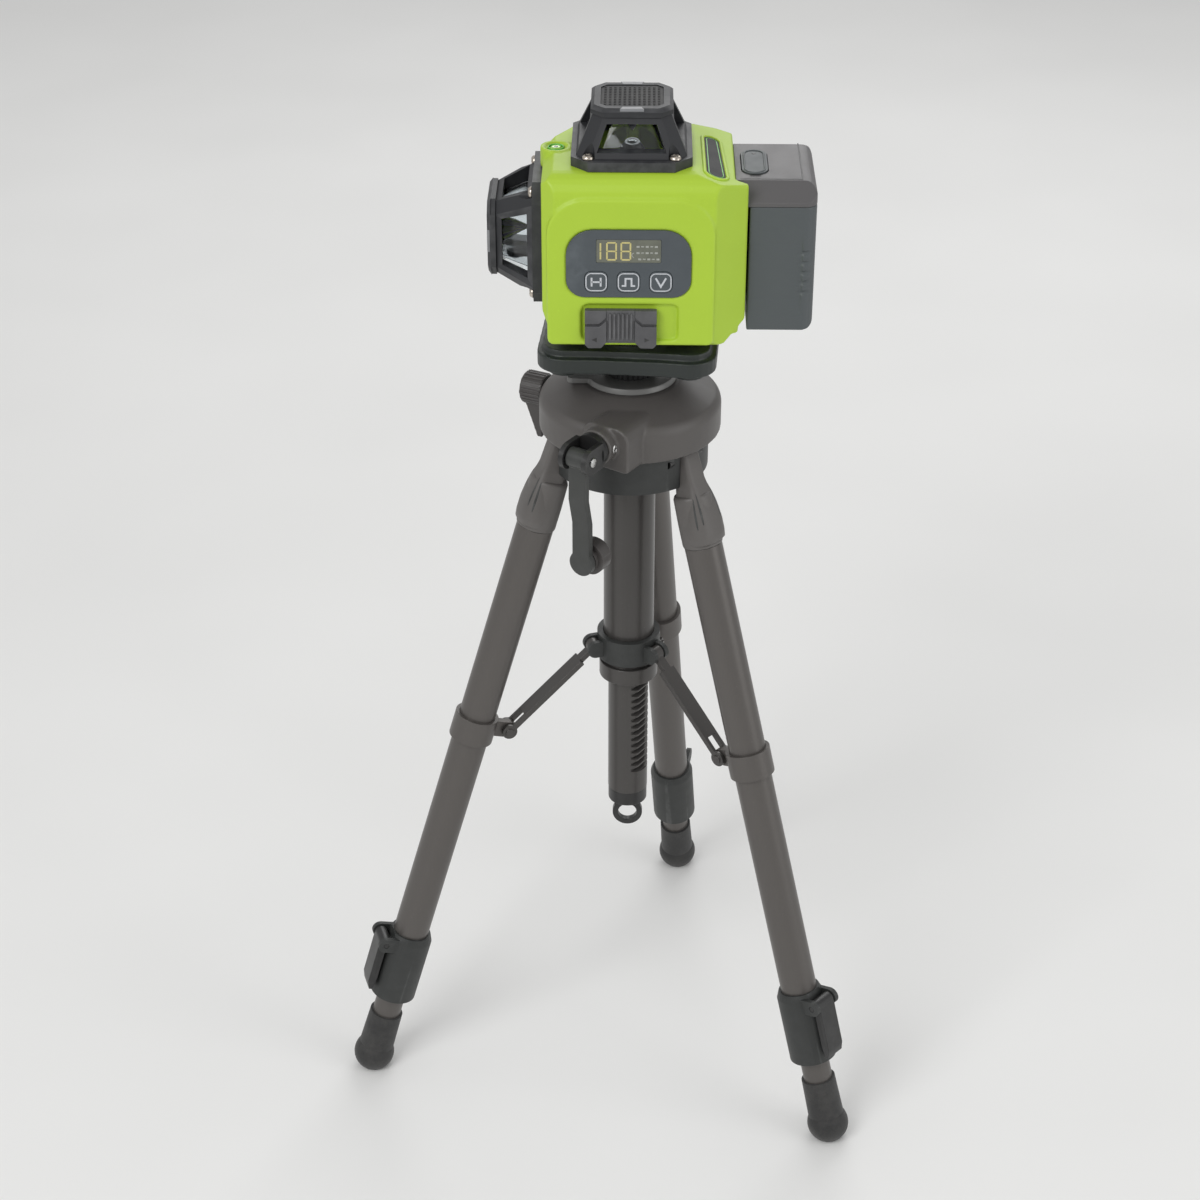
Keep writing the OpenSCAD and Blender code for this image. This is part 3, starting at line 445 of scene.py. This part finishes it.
def carry(node, material, bevel=0.4, segments=2, angle=32.0):
    """Gives a CAD node its material and rounds its sharp edges; the node's own mesh stays as it is."""
    piece = NODES[node]
    piece.data.materials.clear()
    piece.data.materials.append(M[material])
    for polygon in piece.data.polygons:
        polygon.material_index = 0
        polygon.use_smooth = True
    weld = piece.modifiers.new("weld", "WELD")
    weld.merge_threshold = 1e-6
    flat = piece.modifiers.new("flats", "DECIMATE")
    flat.decimate_type = "DISSOLVE"
    flat.angle_limit = math.radians(1.0)
    soften(piece, bevel, segments, angle)


def mould(node, material, voxel, passes):
    """Gives a CAD node its material and softens it as a moulding: fine remesh, rounded by smoothing."""
    piece = NODES[node]
    piece.data.materials.clear()
    piece.data.materials.append(M[material])
    piece.data.polygons.foreach_set("material_index", [0] * len(piece.data.polygons))
    weld = piece.modifiers.new("weld", "WELD")
    weld.merge_threshold = 1e-6
    remesh = piece.modifiers.new("even_mesh", "REMESH")
    remesh.mode = "VOXEL"
    remesh.voxel_size = mm(voxel)
    remesh.use_smooth_shade = True
    smooth = piece.modifiers.new("soft_edges", "SMOOTH")
    smooth.factor = 0.5
    smooth.iterations = passes
    flat = piece.modifiers.new("flats", "DECIMATE")
    flat.decimate_type = "DISSOLVE"
    flat.angle_limit = math.radians(1.5)
    soften(piece, 0)


# Node: (material, voxel in millimetres, smoothing passes)
MOULDED = {
    "body_shell": ("lime", 0.7, 6), "head_crown": ("head", 0.7, 8),
    "column_lock_knob": ("knob", 0.5, 4), "battery_case": ("battery", 0.5, 5),
    "battery_cap": ("battery_cap", 0.35, 4), "base_plate": ("foot", 0.6, 6),
}

# Node: (material, width of its rounded edges in millimetres)
CARRIED = {
    "head_base": ("core", 0.6), "guide_tube": ("bronze", 0.4), "leg_hinge_pins": ("pin", 0.3),
    "brace_collar": ("core", 0.4), "center_column": ("bronze", 0.25), "column_hook": ("black", 0.5),
    "top_plate": ("plate", 0.5), "mounting_stud": ("chrome", 0.1), "lock_collar": ("black", 0.2),
    "crank_shaft": ("black", 0.4), "crank_arm": ("arm", 0.8), "crank_knob": ("knob", 0.5),
    "base_insert": ("brass", 0.2), "turntable": ("ring", 0.3), "bottom_cover": ("lime", 0.3),
    "control_panel": ("panel", 0.25), "key_horizontal": ("panel", 0.2), "key_pulse": ("panel", 0.2),
    "key_vertical": ("panel", 0.2), "lock_switch": ("switch", 0.3), "top_cage": ("cage", 0.4),
    "left_cage": ("cage", 0.4), "rear_cage": ("cage", 0.4), "window_glass": ("glass", 0.0),
    "cage_screws": ("nickel", 0.15), "bullseye_vial": ("liquid", 0.2), "gimbal_ring": ("cast", 0.3),
    "pendulum_frame": ("cast", 0.4), "laser_modules": ("laser", 0.3), "cone_mirrors": ("mirror", 0.1),
    "circuit_board": ("board", 0.1), "usb_flap": ("battery", 0.4), "battery_cells": ("cell", 0.3),
}
for leg in (1, 2, 3):
    CARRIED.update({
        f"brace_strut_{leg}": ("bronze", 0.3), f"leg_{leg}_knuckle": ("knuckle", 0.6),
        f"leg_{leg}_upper_tube": (f"bronze_{leg}", 0.2), f"leg_{leg}_clamp": ("core", 0.5),
        f"leg_{leg}_lever": ("black", 0.5), f"leg_{leg}_lower_tube": (f"bronze_{leg}", 0.2),
        f"leg_{leg}_foot": ("rubber", 0.5)})
for node, (material, bevel) in CARRIED.items():
    carry(node, material, bevel)
for node, (material, voxel, passes) in MOULDED.items():
    mould(node, material, voxel, passes)


# ---------------------------------------------------------------- window turrets

def dotted_pad(name, at):
    """Rubber pad on a turret's cap: a slab with a grid of small round studs."""
    bm = bmesh.new()
    z = CAGE_H * 1000 - 1.2
    prism(bm, at, octagon(28.6, 28.6, 2.8), z, z + 0.7)
    pitch = 2.25
    for i in range(12):
        for j in range(11):
            x, y = (i - 5.5) * pitch, (j - 5) * pitch
            dot = at @ Matrix.Translation(mm(x, y, z + 0.6))
            lathe(bm, dot, [(0, 0.52), (0.45, 0.45), (0.68, 0.2), (0.72, 0.0)], 8, False)
    finish_mesh(name, bm, "pad", "level")


def cap_tabs(name, at):
    """The two pale latch tabs on the front and back edges of a cap."""
    bm = bmesh.new()
    z = CAGE_H * 1000
    for s in (-1, 1):
        outline = [(-5.6, s * 18.6), (-4.4, s * 15.2), (4.4, s * 15.2), (5.6, s * 18.6)]
        prism(bm, at, outline if s < 0 else outline[::-1], z - 2.6, z + 0.04)
    finish_mesh(name, bm, "tab", "level", bevel=0.3)


def pan_screws(name):
    """Cross-head screws at the corners of every turret's flange."""
    bm = bmesh.new()
    for key, at in WINDOWS.items():
        spin = Matrix.Rotation(math.radians(90), 4, "Z") if key == "left" else Matrix.Identity(4)
        for k, (sx, sy) in enumerate(((1, 1), (-1, 1), (-1, -1), (1, -1))):
            seat = at @ spin @ Matrix.Translation(mm(sx * 20, sy * 25, 4.5))
            seat = seat @ Matrix.Rotation(0.4 + k, 4, "Z")
            phillips(bm, seat)
    finish_mesh(name, bm, "nickel", "level", ("cage_screws",))


def phillips(bm, at, r=2.8, h=1.9, arm=1.55, half=0.36, deep=1.1):
    """A domed head whose top has a cross-shaped recess, built as rings of one vertex per direction."""
    cross = [(arm, -half), (arm, half), (half, half), (half, arm), (-half, arm), (-half, half),
             (-arm, half), (-arm, -half), (-half, -half), (-half, -arm), (half, -arm), (half, -half)]
    angles = [math.atan2(y, x) for x, y in cross]

    def ring(radius, z):
        return [bm.verts.new(at @ mm(radius * math.cos(a), radius * math.sin(a), z)) for a in angles]

    dense = [ring(r * 0.72, h * 0.92), ring(r * 0.92, h * 0.62), ring(r, h * 0.25), ring(r, 0.0)]
    top = [bm.verts.new(at @ mm(x, y, h * 1.02)) for x, y in cross]
    floor = [bm.verts.new(at @ mm(x * 0.8, y * 0.8, h * 1.02 - deep)) for x, y in cross]
    loops = [floor, top] + dense
    for a, b in zip(loops, loops[1:]):
        for k in range(12):
            j = (k + 1) % 12
            bm.faces.new((a[k], a[j], b[j], b[k]))
    bm.faces.new(floor[::-1])
    bm.faces.new(dense[-1])


def module_lenses():
    """A small domed lens at the end of each laser module."""
    bm = bmesh.new()
    for at in WINDOWS.values():
        lathe(bm, at, [(0, 4.5), (1.2, 4.4), (2.1, 4.15), (2.6, 3.9), (0, 3.9)], 24, False)
    finish_mesh("module_lenses", bm, "lens", "pendulum")


for key, at in WINDOWS.items():
    dotted_pad(f"pad_{key}", at)
    cap_tabs(f"cap_tabs_{key}", at)
pan_screws("pan_head_screws")
module_lenses()


# ---------------------------------------------------------------- front of the level

PANEL_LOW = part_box("control_panel")[0]


def on_front(y):
    """Frame on the level's front: local X right, local Y up, local Z towards the viewer, at depth y."""
    return basis((AXIS.x, y, SHELL_LOW.z), (1, 0, 0), (0, -1, 0))


PANEL = on_front(PANEL_LOW.y)
KEY_NODES = ("key_horizontal", "key_pulse", "key_vertical")


def seven_segments(bm, at, x, z, w, h, lit, lift):
    """One digit; lit holds the letters of the segments that show."""
    t, g = 0.95, 0.18
    mid = z + h / 2
    bars = {
        "a": (x, z + h, x + w, z + h), "g": (x, mid, x + w, mid), "d": (x, z, x + w, z),
        "f": (x, mid, x, z + h), "b": (x + w, mid, x + w, z + h),
        "e": (x, z, x, mid), "c": (x + w, z, x + w, mid)}
    for letter in lit:
        x0, z0, x1, z1 = bars[letter]
        flat = abs(x1 - x0) > abs(z1 - z0)
        a = (x0 + g, z0) if flat else (x0, z0 + g)
        b = (x1 - g, z1) if flat else (x1, z1 - g)
        stroke(bm, at, [a, b], t * 0.8, lift, lift + 0.05)


def display():
    bm = bmesh.new()
    prism(bm, PANEL, rounded(-15.9, 43.7, 13.9, 54.9, 0.6, 3), -0.9, -0.12)
    finish_mesh("lcd_window", bm, "lcd", "level")
    bm = bmesh.new()
    seven_segments(bm, PANEL, -15.6, 45.1, 1.6, 8.4, "bc", -0.12)
    seven_segments(bm, PANEL, -11.0, 45.1, 4.2, 8.4, "abcdefg", -0.12)
    seven_segments(bm, PANEL, -4.4, 45.1, 4.2, 8.4, "abcdefg", -0.12)
    finish_mesh("lcd_digits", bm, "digit", "level")
    bm = bmesh.new()
    for row in range(3):
        for k in range(5):
            x, z = 2.6 + k * 2.1 + (row == 0) * 0.8, 45.4 + row * 3.1
            stroke(bm, PANEL, [(x, z), (x + 1.4, z)], 0.9 - 0.25 * (k % 2), -0.12, -0.07)
    stroke(bm, PANEL, arc(1.6, 47.4, 1.1, 100, 260, 6), 0.4, -0.12, -0.07)
    finish_mesh("lcd_marks", bm, "mark", "level")


def key_prints():
    """A ring and a plain sign on each key: level line, pulse, and fan."""
    signs = [
        [[(-2.1, -2.2), (-2.1, 2.2)], [(2.1, -2.2), (2.1, 2.2)], [(-2.1, 0), (2.1, 0)]],
        [[(-3.1, -1.8), (-1.4, -1.8), (-1.4, 1.8), (1.4, 1.8), (1.4, -1.8), (3.1, -1.8)]],
        [[(-2.4, 2.2), (0, -2.2), (2.4, 2.2)]],
    ]
    for k, node in enumerate(KEY_NODES):
        low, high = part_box(node)
        at = basis(((low.x + high.x) / 2, low.y, (low.z + high.z) / 2), (1, 0, 0), (0, -1, 0))
        bm = bmesh.new()
        ring = rounded(-4.7, -4.3, 4.7, 4.3, 2.5, 6)
        stroke(bm, at, ring + ring[:1], 0.55, -0.02, 0.05)
        for line in signs[k]:
            stroke(bm, at, line, 0.85, -0.02, 0.05)
        finish_mesh(f"key_print_{k + 1}", bm, "ink", f"key_{k + 1}")


def rim(bm, at, outline, width, height, sink=0.3):
    """A raised rounded bead that follows a closed outline."""
    n = len(outline)
    section = [(-width / 2, -sink), (-width / 2, height * 0.5), (-width / 4, height * 0.92), (0, height),
               (width / 4, height * 0.92), (width / 2, height * 0.5), (width / 2, -sink)]
    loops = []
    for k, p in enumerate(outline):
        a, b = Vector(outline[k - 1]), Vector(outline[(k + 1) % n])
        t = (b - a).normalized()
        side = Vector((t.y, -t.x))
        loops.append([bm.verts.new(at @ mm(p[0] + side.x * s, p[1] + side.y * s, h)) for s, h in section])
    for k in range(n):
        a, b = loops[k], loops[(k + 1) % n]
        for i in range(len(section)):
            j = (i + 1) % len(section)
            bm.faces.new((a[i], b[i], b[j], a[j]))


def slider():
    """The lock switch: two end blocks split by a slanting crease, and a ribbed grip between them."""
    low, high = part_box("lock_switch")
    at = basis(((low.x + high.x) / 2, low.y, low.z), (1, 0, 0), (0, -1, 0))
    bm = bmesh.new()
    prism(bm, at, [(-16.3, 2.2), (16.3, 2.2), (16.3, 18.4), (-16.3, 18.4)], -4.3, -1.5)
    prism(bm, at, [(-16, 3.8), (16, 3.8), (16, 18.6), (-16, 18.6)], -5.0, -4.0)
    prism(bm, at, [(-6.7, 3.0), (6.7, 3.0), (6.7, 18.9), (-6.7, 18.9)], -4.2, -1.1)
    for k in range(6):
        x = (k - 2.5) * 2.0
        prism(bm, at, rounded(x - 0.55, 4.4, x + 0.55, 17.6, 0.5, 3), -1.6, -0.15)
    for s in (-1, 1):
        block = [(6.6, 3.1), (9.2, 0.1), (15.2, 0.0), (16.8, 1.8), (16.8, 11.2), (9.8, 11.2), (6.6, 14.2)]
        plate = [(16.8, 12.0), (16.8, 18.9), (6.6, 18.9), (6.6, 15.3), (10.1, 12.0)]
        prism(bm, at, [(s * x, y) for x, y in block], -4.2, 0.0)
        prism(bm, at, [(s * x, y) for x, y in plate], -4.2, -0.8)
    finish_mesh("slider", bm, "switch", "switch", ("lock_switch",), bevel=0.4)
    bm = bmesh.new()
    for s in (-1, 1):
        prism(bm, at, [(s * 11.2, 3.4), (s * 13.6, 4.5), (s * 11.2, 5.6)], -0.3, 0.06)
    finish_mesh("slider_arrows", bm, "black", "switch")


def vial_marks():
    """The ring and the bubble of the round vial."""
    low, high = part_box("bullseye_vial")
    at = Matrix.Translation(((low.x + high.x) / 2, (low.y + high.y) / 2, high.z))
    bm = bmesh.new()
    lathe(bm, at, [(2.0, 0.02), (2.0, 0.14), (2.35, 0.14), (2.35, 0.02)], 32)
    lathe(bm, at, [(3.3, -0.7), (3.3, 0.1), (3.8, 0.1), (3.9, -0.7)], 40)
    finish_mesh("vial_ring", bm, "label_green", "level")
    bm = bmesh.new()
    lathe(bm, at, [(0.0, 0.34), (0.5, 0.3), (0.9, 0.18), (1.05, 0.0), (0.0, 0.0)], 24, False)
    finish_mesh("vial_bubble", bm, "ink", "level")


def side_label():
    """Plain black label with a thin border, in a raised rim on the slope at the deck's right."""
    slope = Vector((24.5, 0, -8)).normalized()
    normal = Vector((8, 0, 24.5)).normalized()
    deck = (TOP_LOW.z - SHELL_LOW.z) * 1000
    at = basis(LEVEL @ mm(38.2, -3.5, deck - 8.7 * 8 / 24.5), slope, normal)
    at = at @ Matrix.Rotation(math.radians(2.0), 4, "Z")

    def pill(grow):
        return (arc(0, 21.4, 3.6 + grow, 0, 180, 12) + arc(0, -20.4, 4.6 + grow, 180, 360, 12))

    bm = bmesh.new()
    prism(bm, at, pill(0), -0.6, 0.22)
    finish_mesh("side_label", bm, "label", "level", bevel=0.12)
    bm = bmesh.new()
    stroke(bm, at, pill(-1.1) + pill(-1.1)[:1], 0.4, 0.18, 0.26)
    finish_mesh("side_label_border", bm, "label_green", "level")
    bm = bmesh.new()
    rim(bm, at, pill(1.0), 1.7, 0.75)
    finish_mesh("side_label_rim", bm, "lime", "level")


def port_marks():
    """The raised outline on the port's flap, and a black disc that paints the shade of its finger dimple.
    """
    low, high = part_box("usb_flap")
    at = Matrix.Translation(((low.x + high.x) / 2, (low.y + high.y) / 2, high.z - mm(0.5)))
    bm = bmesh.new()
    rim(bm, at, rounded(-4.7, -14.1, 4.7, 14.1, 4.6, 8), 0.9, 0.4)
    finish_mesh("port_flap_outline", bm, "battery", "port_flap")
    bm = bmesh.new()
    # Painted shade: a black disc where the finger dimple's hollow is.
    lathe(bm, at @ Matrix.Translation(mm(0, 10.2, 0)),
          [(0.0, 0.12), (0.75, 0.12), (1.0, 0.05), (1.0, -0.3), (0.0, -0.3)], 20, False)
    finish_mesh("port_flap_dimple_shade", bm, "black", "port_flap")


display()
key_prints()
slider()
vial_marks()
side_label()
port_marks()

# ---------------------------------------------------------------- legs and head of the tripod

def leg_frame(i):
    """Origin at the hinge of leg i, local Z up along the leg, local X outwards."""
    up = -joint_axis(f"leg_{i}_extend")
    return basis(joint_at(f"leg_{i}_fold"), joint_axis(f"leg_{i}_fold").cross(up), up)


def oval(a, section):
    """Point at angle a of a squared-off oval; section is (height, front, back, half width, squareness)."""
    z, front, back, half, power = section
    c, s = math.cos(a), math.sin(a)
    x = (front + back) / 2 + (front - back) / 2 * math.copysign(abs(c) ** (2 / power), c)
    return mm(x, half * math.copysign(abs(s) ** (2 / power), s), z)


def between(sections, z):
    """The section at height z, interpolated."""
    for a, b in zip(sections, sections[1:]):
        if a[0] >= z >= b[0]:
            t = (a[0] - z) / (a[0] - b[0])
            return tuple(p + (q - p) * t for p, q in zip(a, b))
    return sections[-1]


def loft(bm, at, sections, n=44):
    rings = [[bm.verts.new(at @ oval(2 * math.pi * k / n, s)) for k in range(n)] for s in sections]
    for a, b in zip(rings, rings[1:]):
        for k in range(n):
            j = (k + 1) % n
            bm.faces.new((a[k], a[j], b[j], b[k]))
    bm.faces.new(rings[0])
    bm.faces.new(rings[-1][::-1])


# Sections of a knuckle's tongue, from its top down
TONGUE = [
    (5.75, 0.75, -0.75, 5.1, 4), (5.2, 2.6, -2.6, 5.4, 4.5), (4.0, 4.2, -4.2, 5.5, 5),
    (2, 5.45, -5.45, 5.5, 6), (0, 5.8, -5.8, 5.5, 6), (-12, 6.4, -5.8, 5.6, 6),
    (-15, 7.1, -5.9, 6.1, 5), (-20, 8.6, -6.4, 7.6, 4), (-26, 9.9, -7, 9.1, 3.2),
    (-34, 10.9, -7, 10.2, 2.8), (-40, 11.0, -6, 10.3, 2.6), (-43.4, 10.7, -5, 9.9, 2.5),
    (-44.3, 9.6, -5, 8.8, 2.5)]


def slash(bm, at, a, top, low, half):
    """A narrow dark inlay that follows the tongue's surface and tapers at both ends."""
    rings = []
    steps = 10
    for k in range(steps + 1):
        section = between(TONGUE, top + (low - top) * k / steps)
        w = 0.02 + half * math.sin(math.pi * k / steps) ** 0.6
        edge = [oval(a - w, section), oval(a + w, section)]
        middle = mm(0, 0, section[0])
        out = [p + (p - middle).normalized() * mm(0.05) for p in edge]
        deep = [p - (p - middle).normalized() * mm(0.8) for p in edge]
        rings.append([bm.verts.new(at @ p) for p in (out[0], out[1], deep[1], deep[0])])
    for r, q in zip(rings, rings[1:]):
        for k in range(4):
            bm.faces.new((r[k], r[(k + 1) % 4], q[(k + 1) % 4], q[k]))
    bm.faces.new(rings[0])
    bm.faces.new(rings[-1][::-1])


def knuckle(i):
    """A leg's hinge piece: a tongue that spreads into a shield over a round sleeve, with slashes."""
    at = leg_frame(i)
    bm = bmesh.new()
    loft(bm, at, TONGUE)
    lathe(bm, at, [(0, -18.8), (8.2, -18.8), (9.2, -19.3), (9.75, -20.6), (10.1, -34), (10.1, -44.7),
                   (9.8, -45.7), (9.2, -46.0), (0, -46.0)], 48, False)
    finish_mesh(f"knuckle_{i}", bm, "knuckle", f"leg_{i}", (f"leg_{i}_knuckle",))
    bm = bmesh.new()
    for side in (-1, 1):
        slash(bm, at, side * 0.55, -17.5, -33.0, 0.055)
        slash(bm, at, side * 1.0, -19.5, -35.0, 0.055)
    finish_mesh(f"knuckle_slashes_{i}", bm, "core", f"leg_{i}")


def thread():
    """The stud's single-start thread, with a narrow groove down its front and back."""
    low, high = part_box("mounting_stud")
    collar_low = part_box("lock_collar")[0].z
    at = Matrix.Translation((AXIS.x, AXIS.y, collar_low))
    height = (high.z - collar_low) * 1000
    pitch, root, crest, n = 2.31, 7.05, 7.94, 48
    rows = int(height / 0.29)
    bm = bmesh.new()
    rings = []
    for j in range(rows + 1):
        z = height * j / rows
        ring = []
        for k in range(n):
            t = (z / pitch - k / n) % 1
            r = root + (crest - root) * min(1.0, 1.25 * (1 - abs(2 * t - 1)))
            r = min(r, crest - max(0.0, z - height + 1.2))
            if k % (n // 2) == n // 4:
                r = root - 0.5
            a = 2 * math.pi * k / n
            ring.append(bm.verts.new(at @ mm(r * math.cos(a), r * math.sin(a), z)))
        rings.append(ring)
    for a, b in zip(rings, rings[1:]):
        for k in range(n):
            bm.faces.new((a[k], a[(k + 1) % n], b[(k + 1) % n], b[k]))
    bm.faces.new(rings[0][::-1])
    bm.faces.new(rings[-1])
    finish_mesh("stud_thread", bm, "chrome", "column", ("mounting_stud",))


def crank_trim():
    """The bright hinge pin between the fork's cheeks, and the screw on the crank's barrel."""
    axis, pin = joint_axis("crank_turn"), joint_axis("crank_arm_fold")
    at = basis(joint_at("crank_arm_fold"), axis, pin)
    bm = bmesh.new()
    lathe(bm, at, [(0, -8.7), (1.9, -8.7), (2.3, -8.3), (2.3, -7.9), (1.7, -7.9), (1.7, 7.9), (2.3, 7.9),
                   (2.3, 8.3), (1.9, 8.7), (0, 8.7)], 24, False)
    finish_mesh("crank_pin", bm, "steel", "crank")
    side = basis(joint_at("crank_arm_fold") - axis * mm(17.5), axis, Vector((0, 0, 1)).cross(axis))
    bm = bmesh.new()
    phillips(bm, side @ Matrix.Translation(mm(0, 0, 8.2)), 2.4, 1.0, 1.3, 0.3, 0.8)
    finish_mesh("crank_screw", bm, "steel", "head")


def lock_knob_ribs():
    """Fine ribs round the hub of the column's lock knob."""
    at = basis(joint_at("column_lock_turn"), (0, 0, 1), joint_axis("column_lock_turn"))
    bm = bmesh.new()
    for k in range(24):
        a = 2 * math.pi * k / 24
        rib = at @ Matrix.Rotation(a, 4, "Z")
        prism(bm, rib, [(7.4, -0.45), (8.45, -0.3), (8.45, 0.3), (7.4, 0.45)], -3.4, 7.2)
    finish_mesh("lock_knob_ribs", bm, "knob", "column_lock", bevel=0.1)


def cap_painted_shadow_lines():
    """Painted shadow: black lines that frame the flat top of the battery's cap, on its front and right."""
    low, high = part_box("battery_cap")
    at = Matrix.Translation((low.x, low.y, high.z))
    w, d = (high.x - low.x) * 1000, (high.y - low.y) * 1000
    bm = bmesh.new()
    # Painted shadow: thin black strips where shade falls along the cap's top.
    stroke(bm, at, [(2.2, 10.6), (w - 7.0, 10.6), (w - 7.0, d - 3)], 0.55, -0.5, 0.03)
    finish_mesh("cap_painted_shadow_lines", bm, "black", "battery")


for leg in (1, 2, 3):
    knuckle(leg)
thread()
crank_trim()
lock_knob_ribs()
cap_painted_shadow_lines()


# ---------------------------------------------------------------- floor, light, camera

def floor():
    bm = bmesh.new()
    bmesh.ops.create_grid(bm, x_segments=4, y_segments=4, size=3.0)
    mesh = bpy.data.meshes.new("floor")
    bm.to_mesh(mesh)
    bm.free()
    ground = bpy.data.objects.new("floor", mesh)
    bpy.context.scene.collection.objects.link(ground)
    m, tree, shader = new_material("floor", (0.82, 0.82, 0.81), 0.6)
    where = coords(tree)
    tone = remap(tree, noise(tree, where, 3.0, 2.0), 0.3, 0.7, 0.0, 1.0)
    base = blend_colour(tree, tone, (0.80, 0.80, 0.79), (0.84, 0.84, 0.83))
    tree.links.new(base, shader.inputs["Base Color"])
    mesh.materials.append(m)


def area_light(name, place, target, size, power):
    data = bpy.data.lights.new(name, "AREA")
    data.shape = "RECTANGLE"
    data.size, data.size_y = size
    data.energy = power
    lamp = bpy.data.objects.new(name, data)
    bpy.context.scene.collection.objects.link(lamp)
    lamp.location = place
    lamp.rotation_euler = (Vector(target) - Vector(place)).to_track_quat("-Z", "Y").to_euler()


def studio():
    world = bpy.data.worlds.new("studio")
    bpy.context.scene.world = world
    world.use_nodes = True
    world.node_tree.nodes["Background"].inputs["Color"].default_value = (1, 1, 1, 1)
    world.node_tree.nodes["Background"].inputs["Strength"].default_value = 0.55
    low, high = cad_bounds
    middle = (Vector(low) + Vector(high)) / 2
    area_light("key", (-0.9, -1.3, 1.6), middle, (1.0, 1.0), 17)
    area_light("fill", (1.5, -0.7, 0.8), middle, (0.9, 1.4), 6)
    area_light("back", (0.3, 1.5, 1.3), middle, (1.4, 0.8), 8)


def camera():
    """Looks at the object's middle from the front and 31 degrees above."""
    low, high = (Vector(v) for v in cad_bounds)
    middle = (low + high) / 2 - Vector((0, 0, mm(12)))
    azimuth, elevation, distance = math.radians(1), math.radians(31), 1.32
    direction = Vector((math.sin(azimuth) * math.cos(elevation), -math.cos(azimuth) * math.cos(elevation),
                        math.sin(elevation)))
    data = bpy.data.cameras.new("camera")
    data.lens, data.sensor_width = 75, 36
    eye = bpy.data.objects.new("camera", data)
    bpy.context.scene.collection.objects.link(eye)
    eye.location = middle + direction * distance
    eye.rotation_euler = (-direction).to_track_quat("-Z", "Y").to_euler()
    bpy.context.scene.camera = eye


floor()
studio()
camera()
bpy.context.scene.view_settings.view_transform = "Standard"
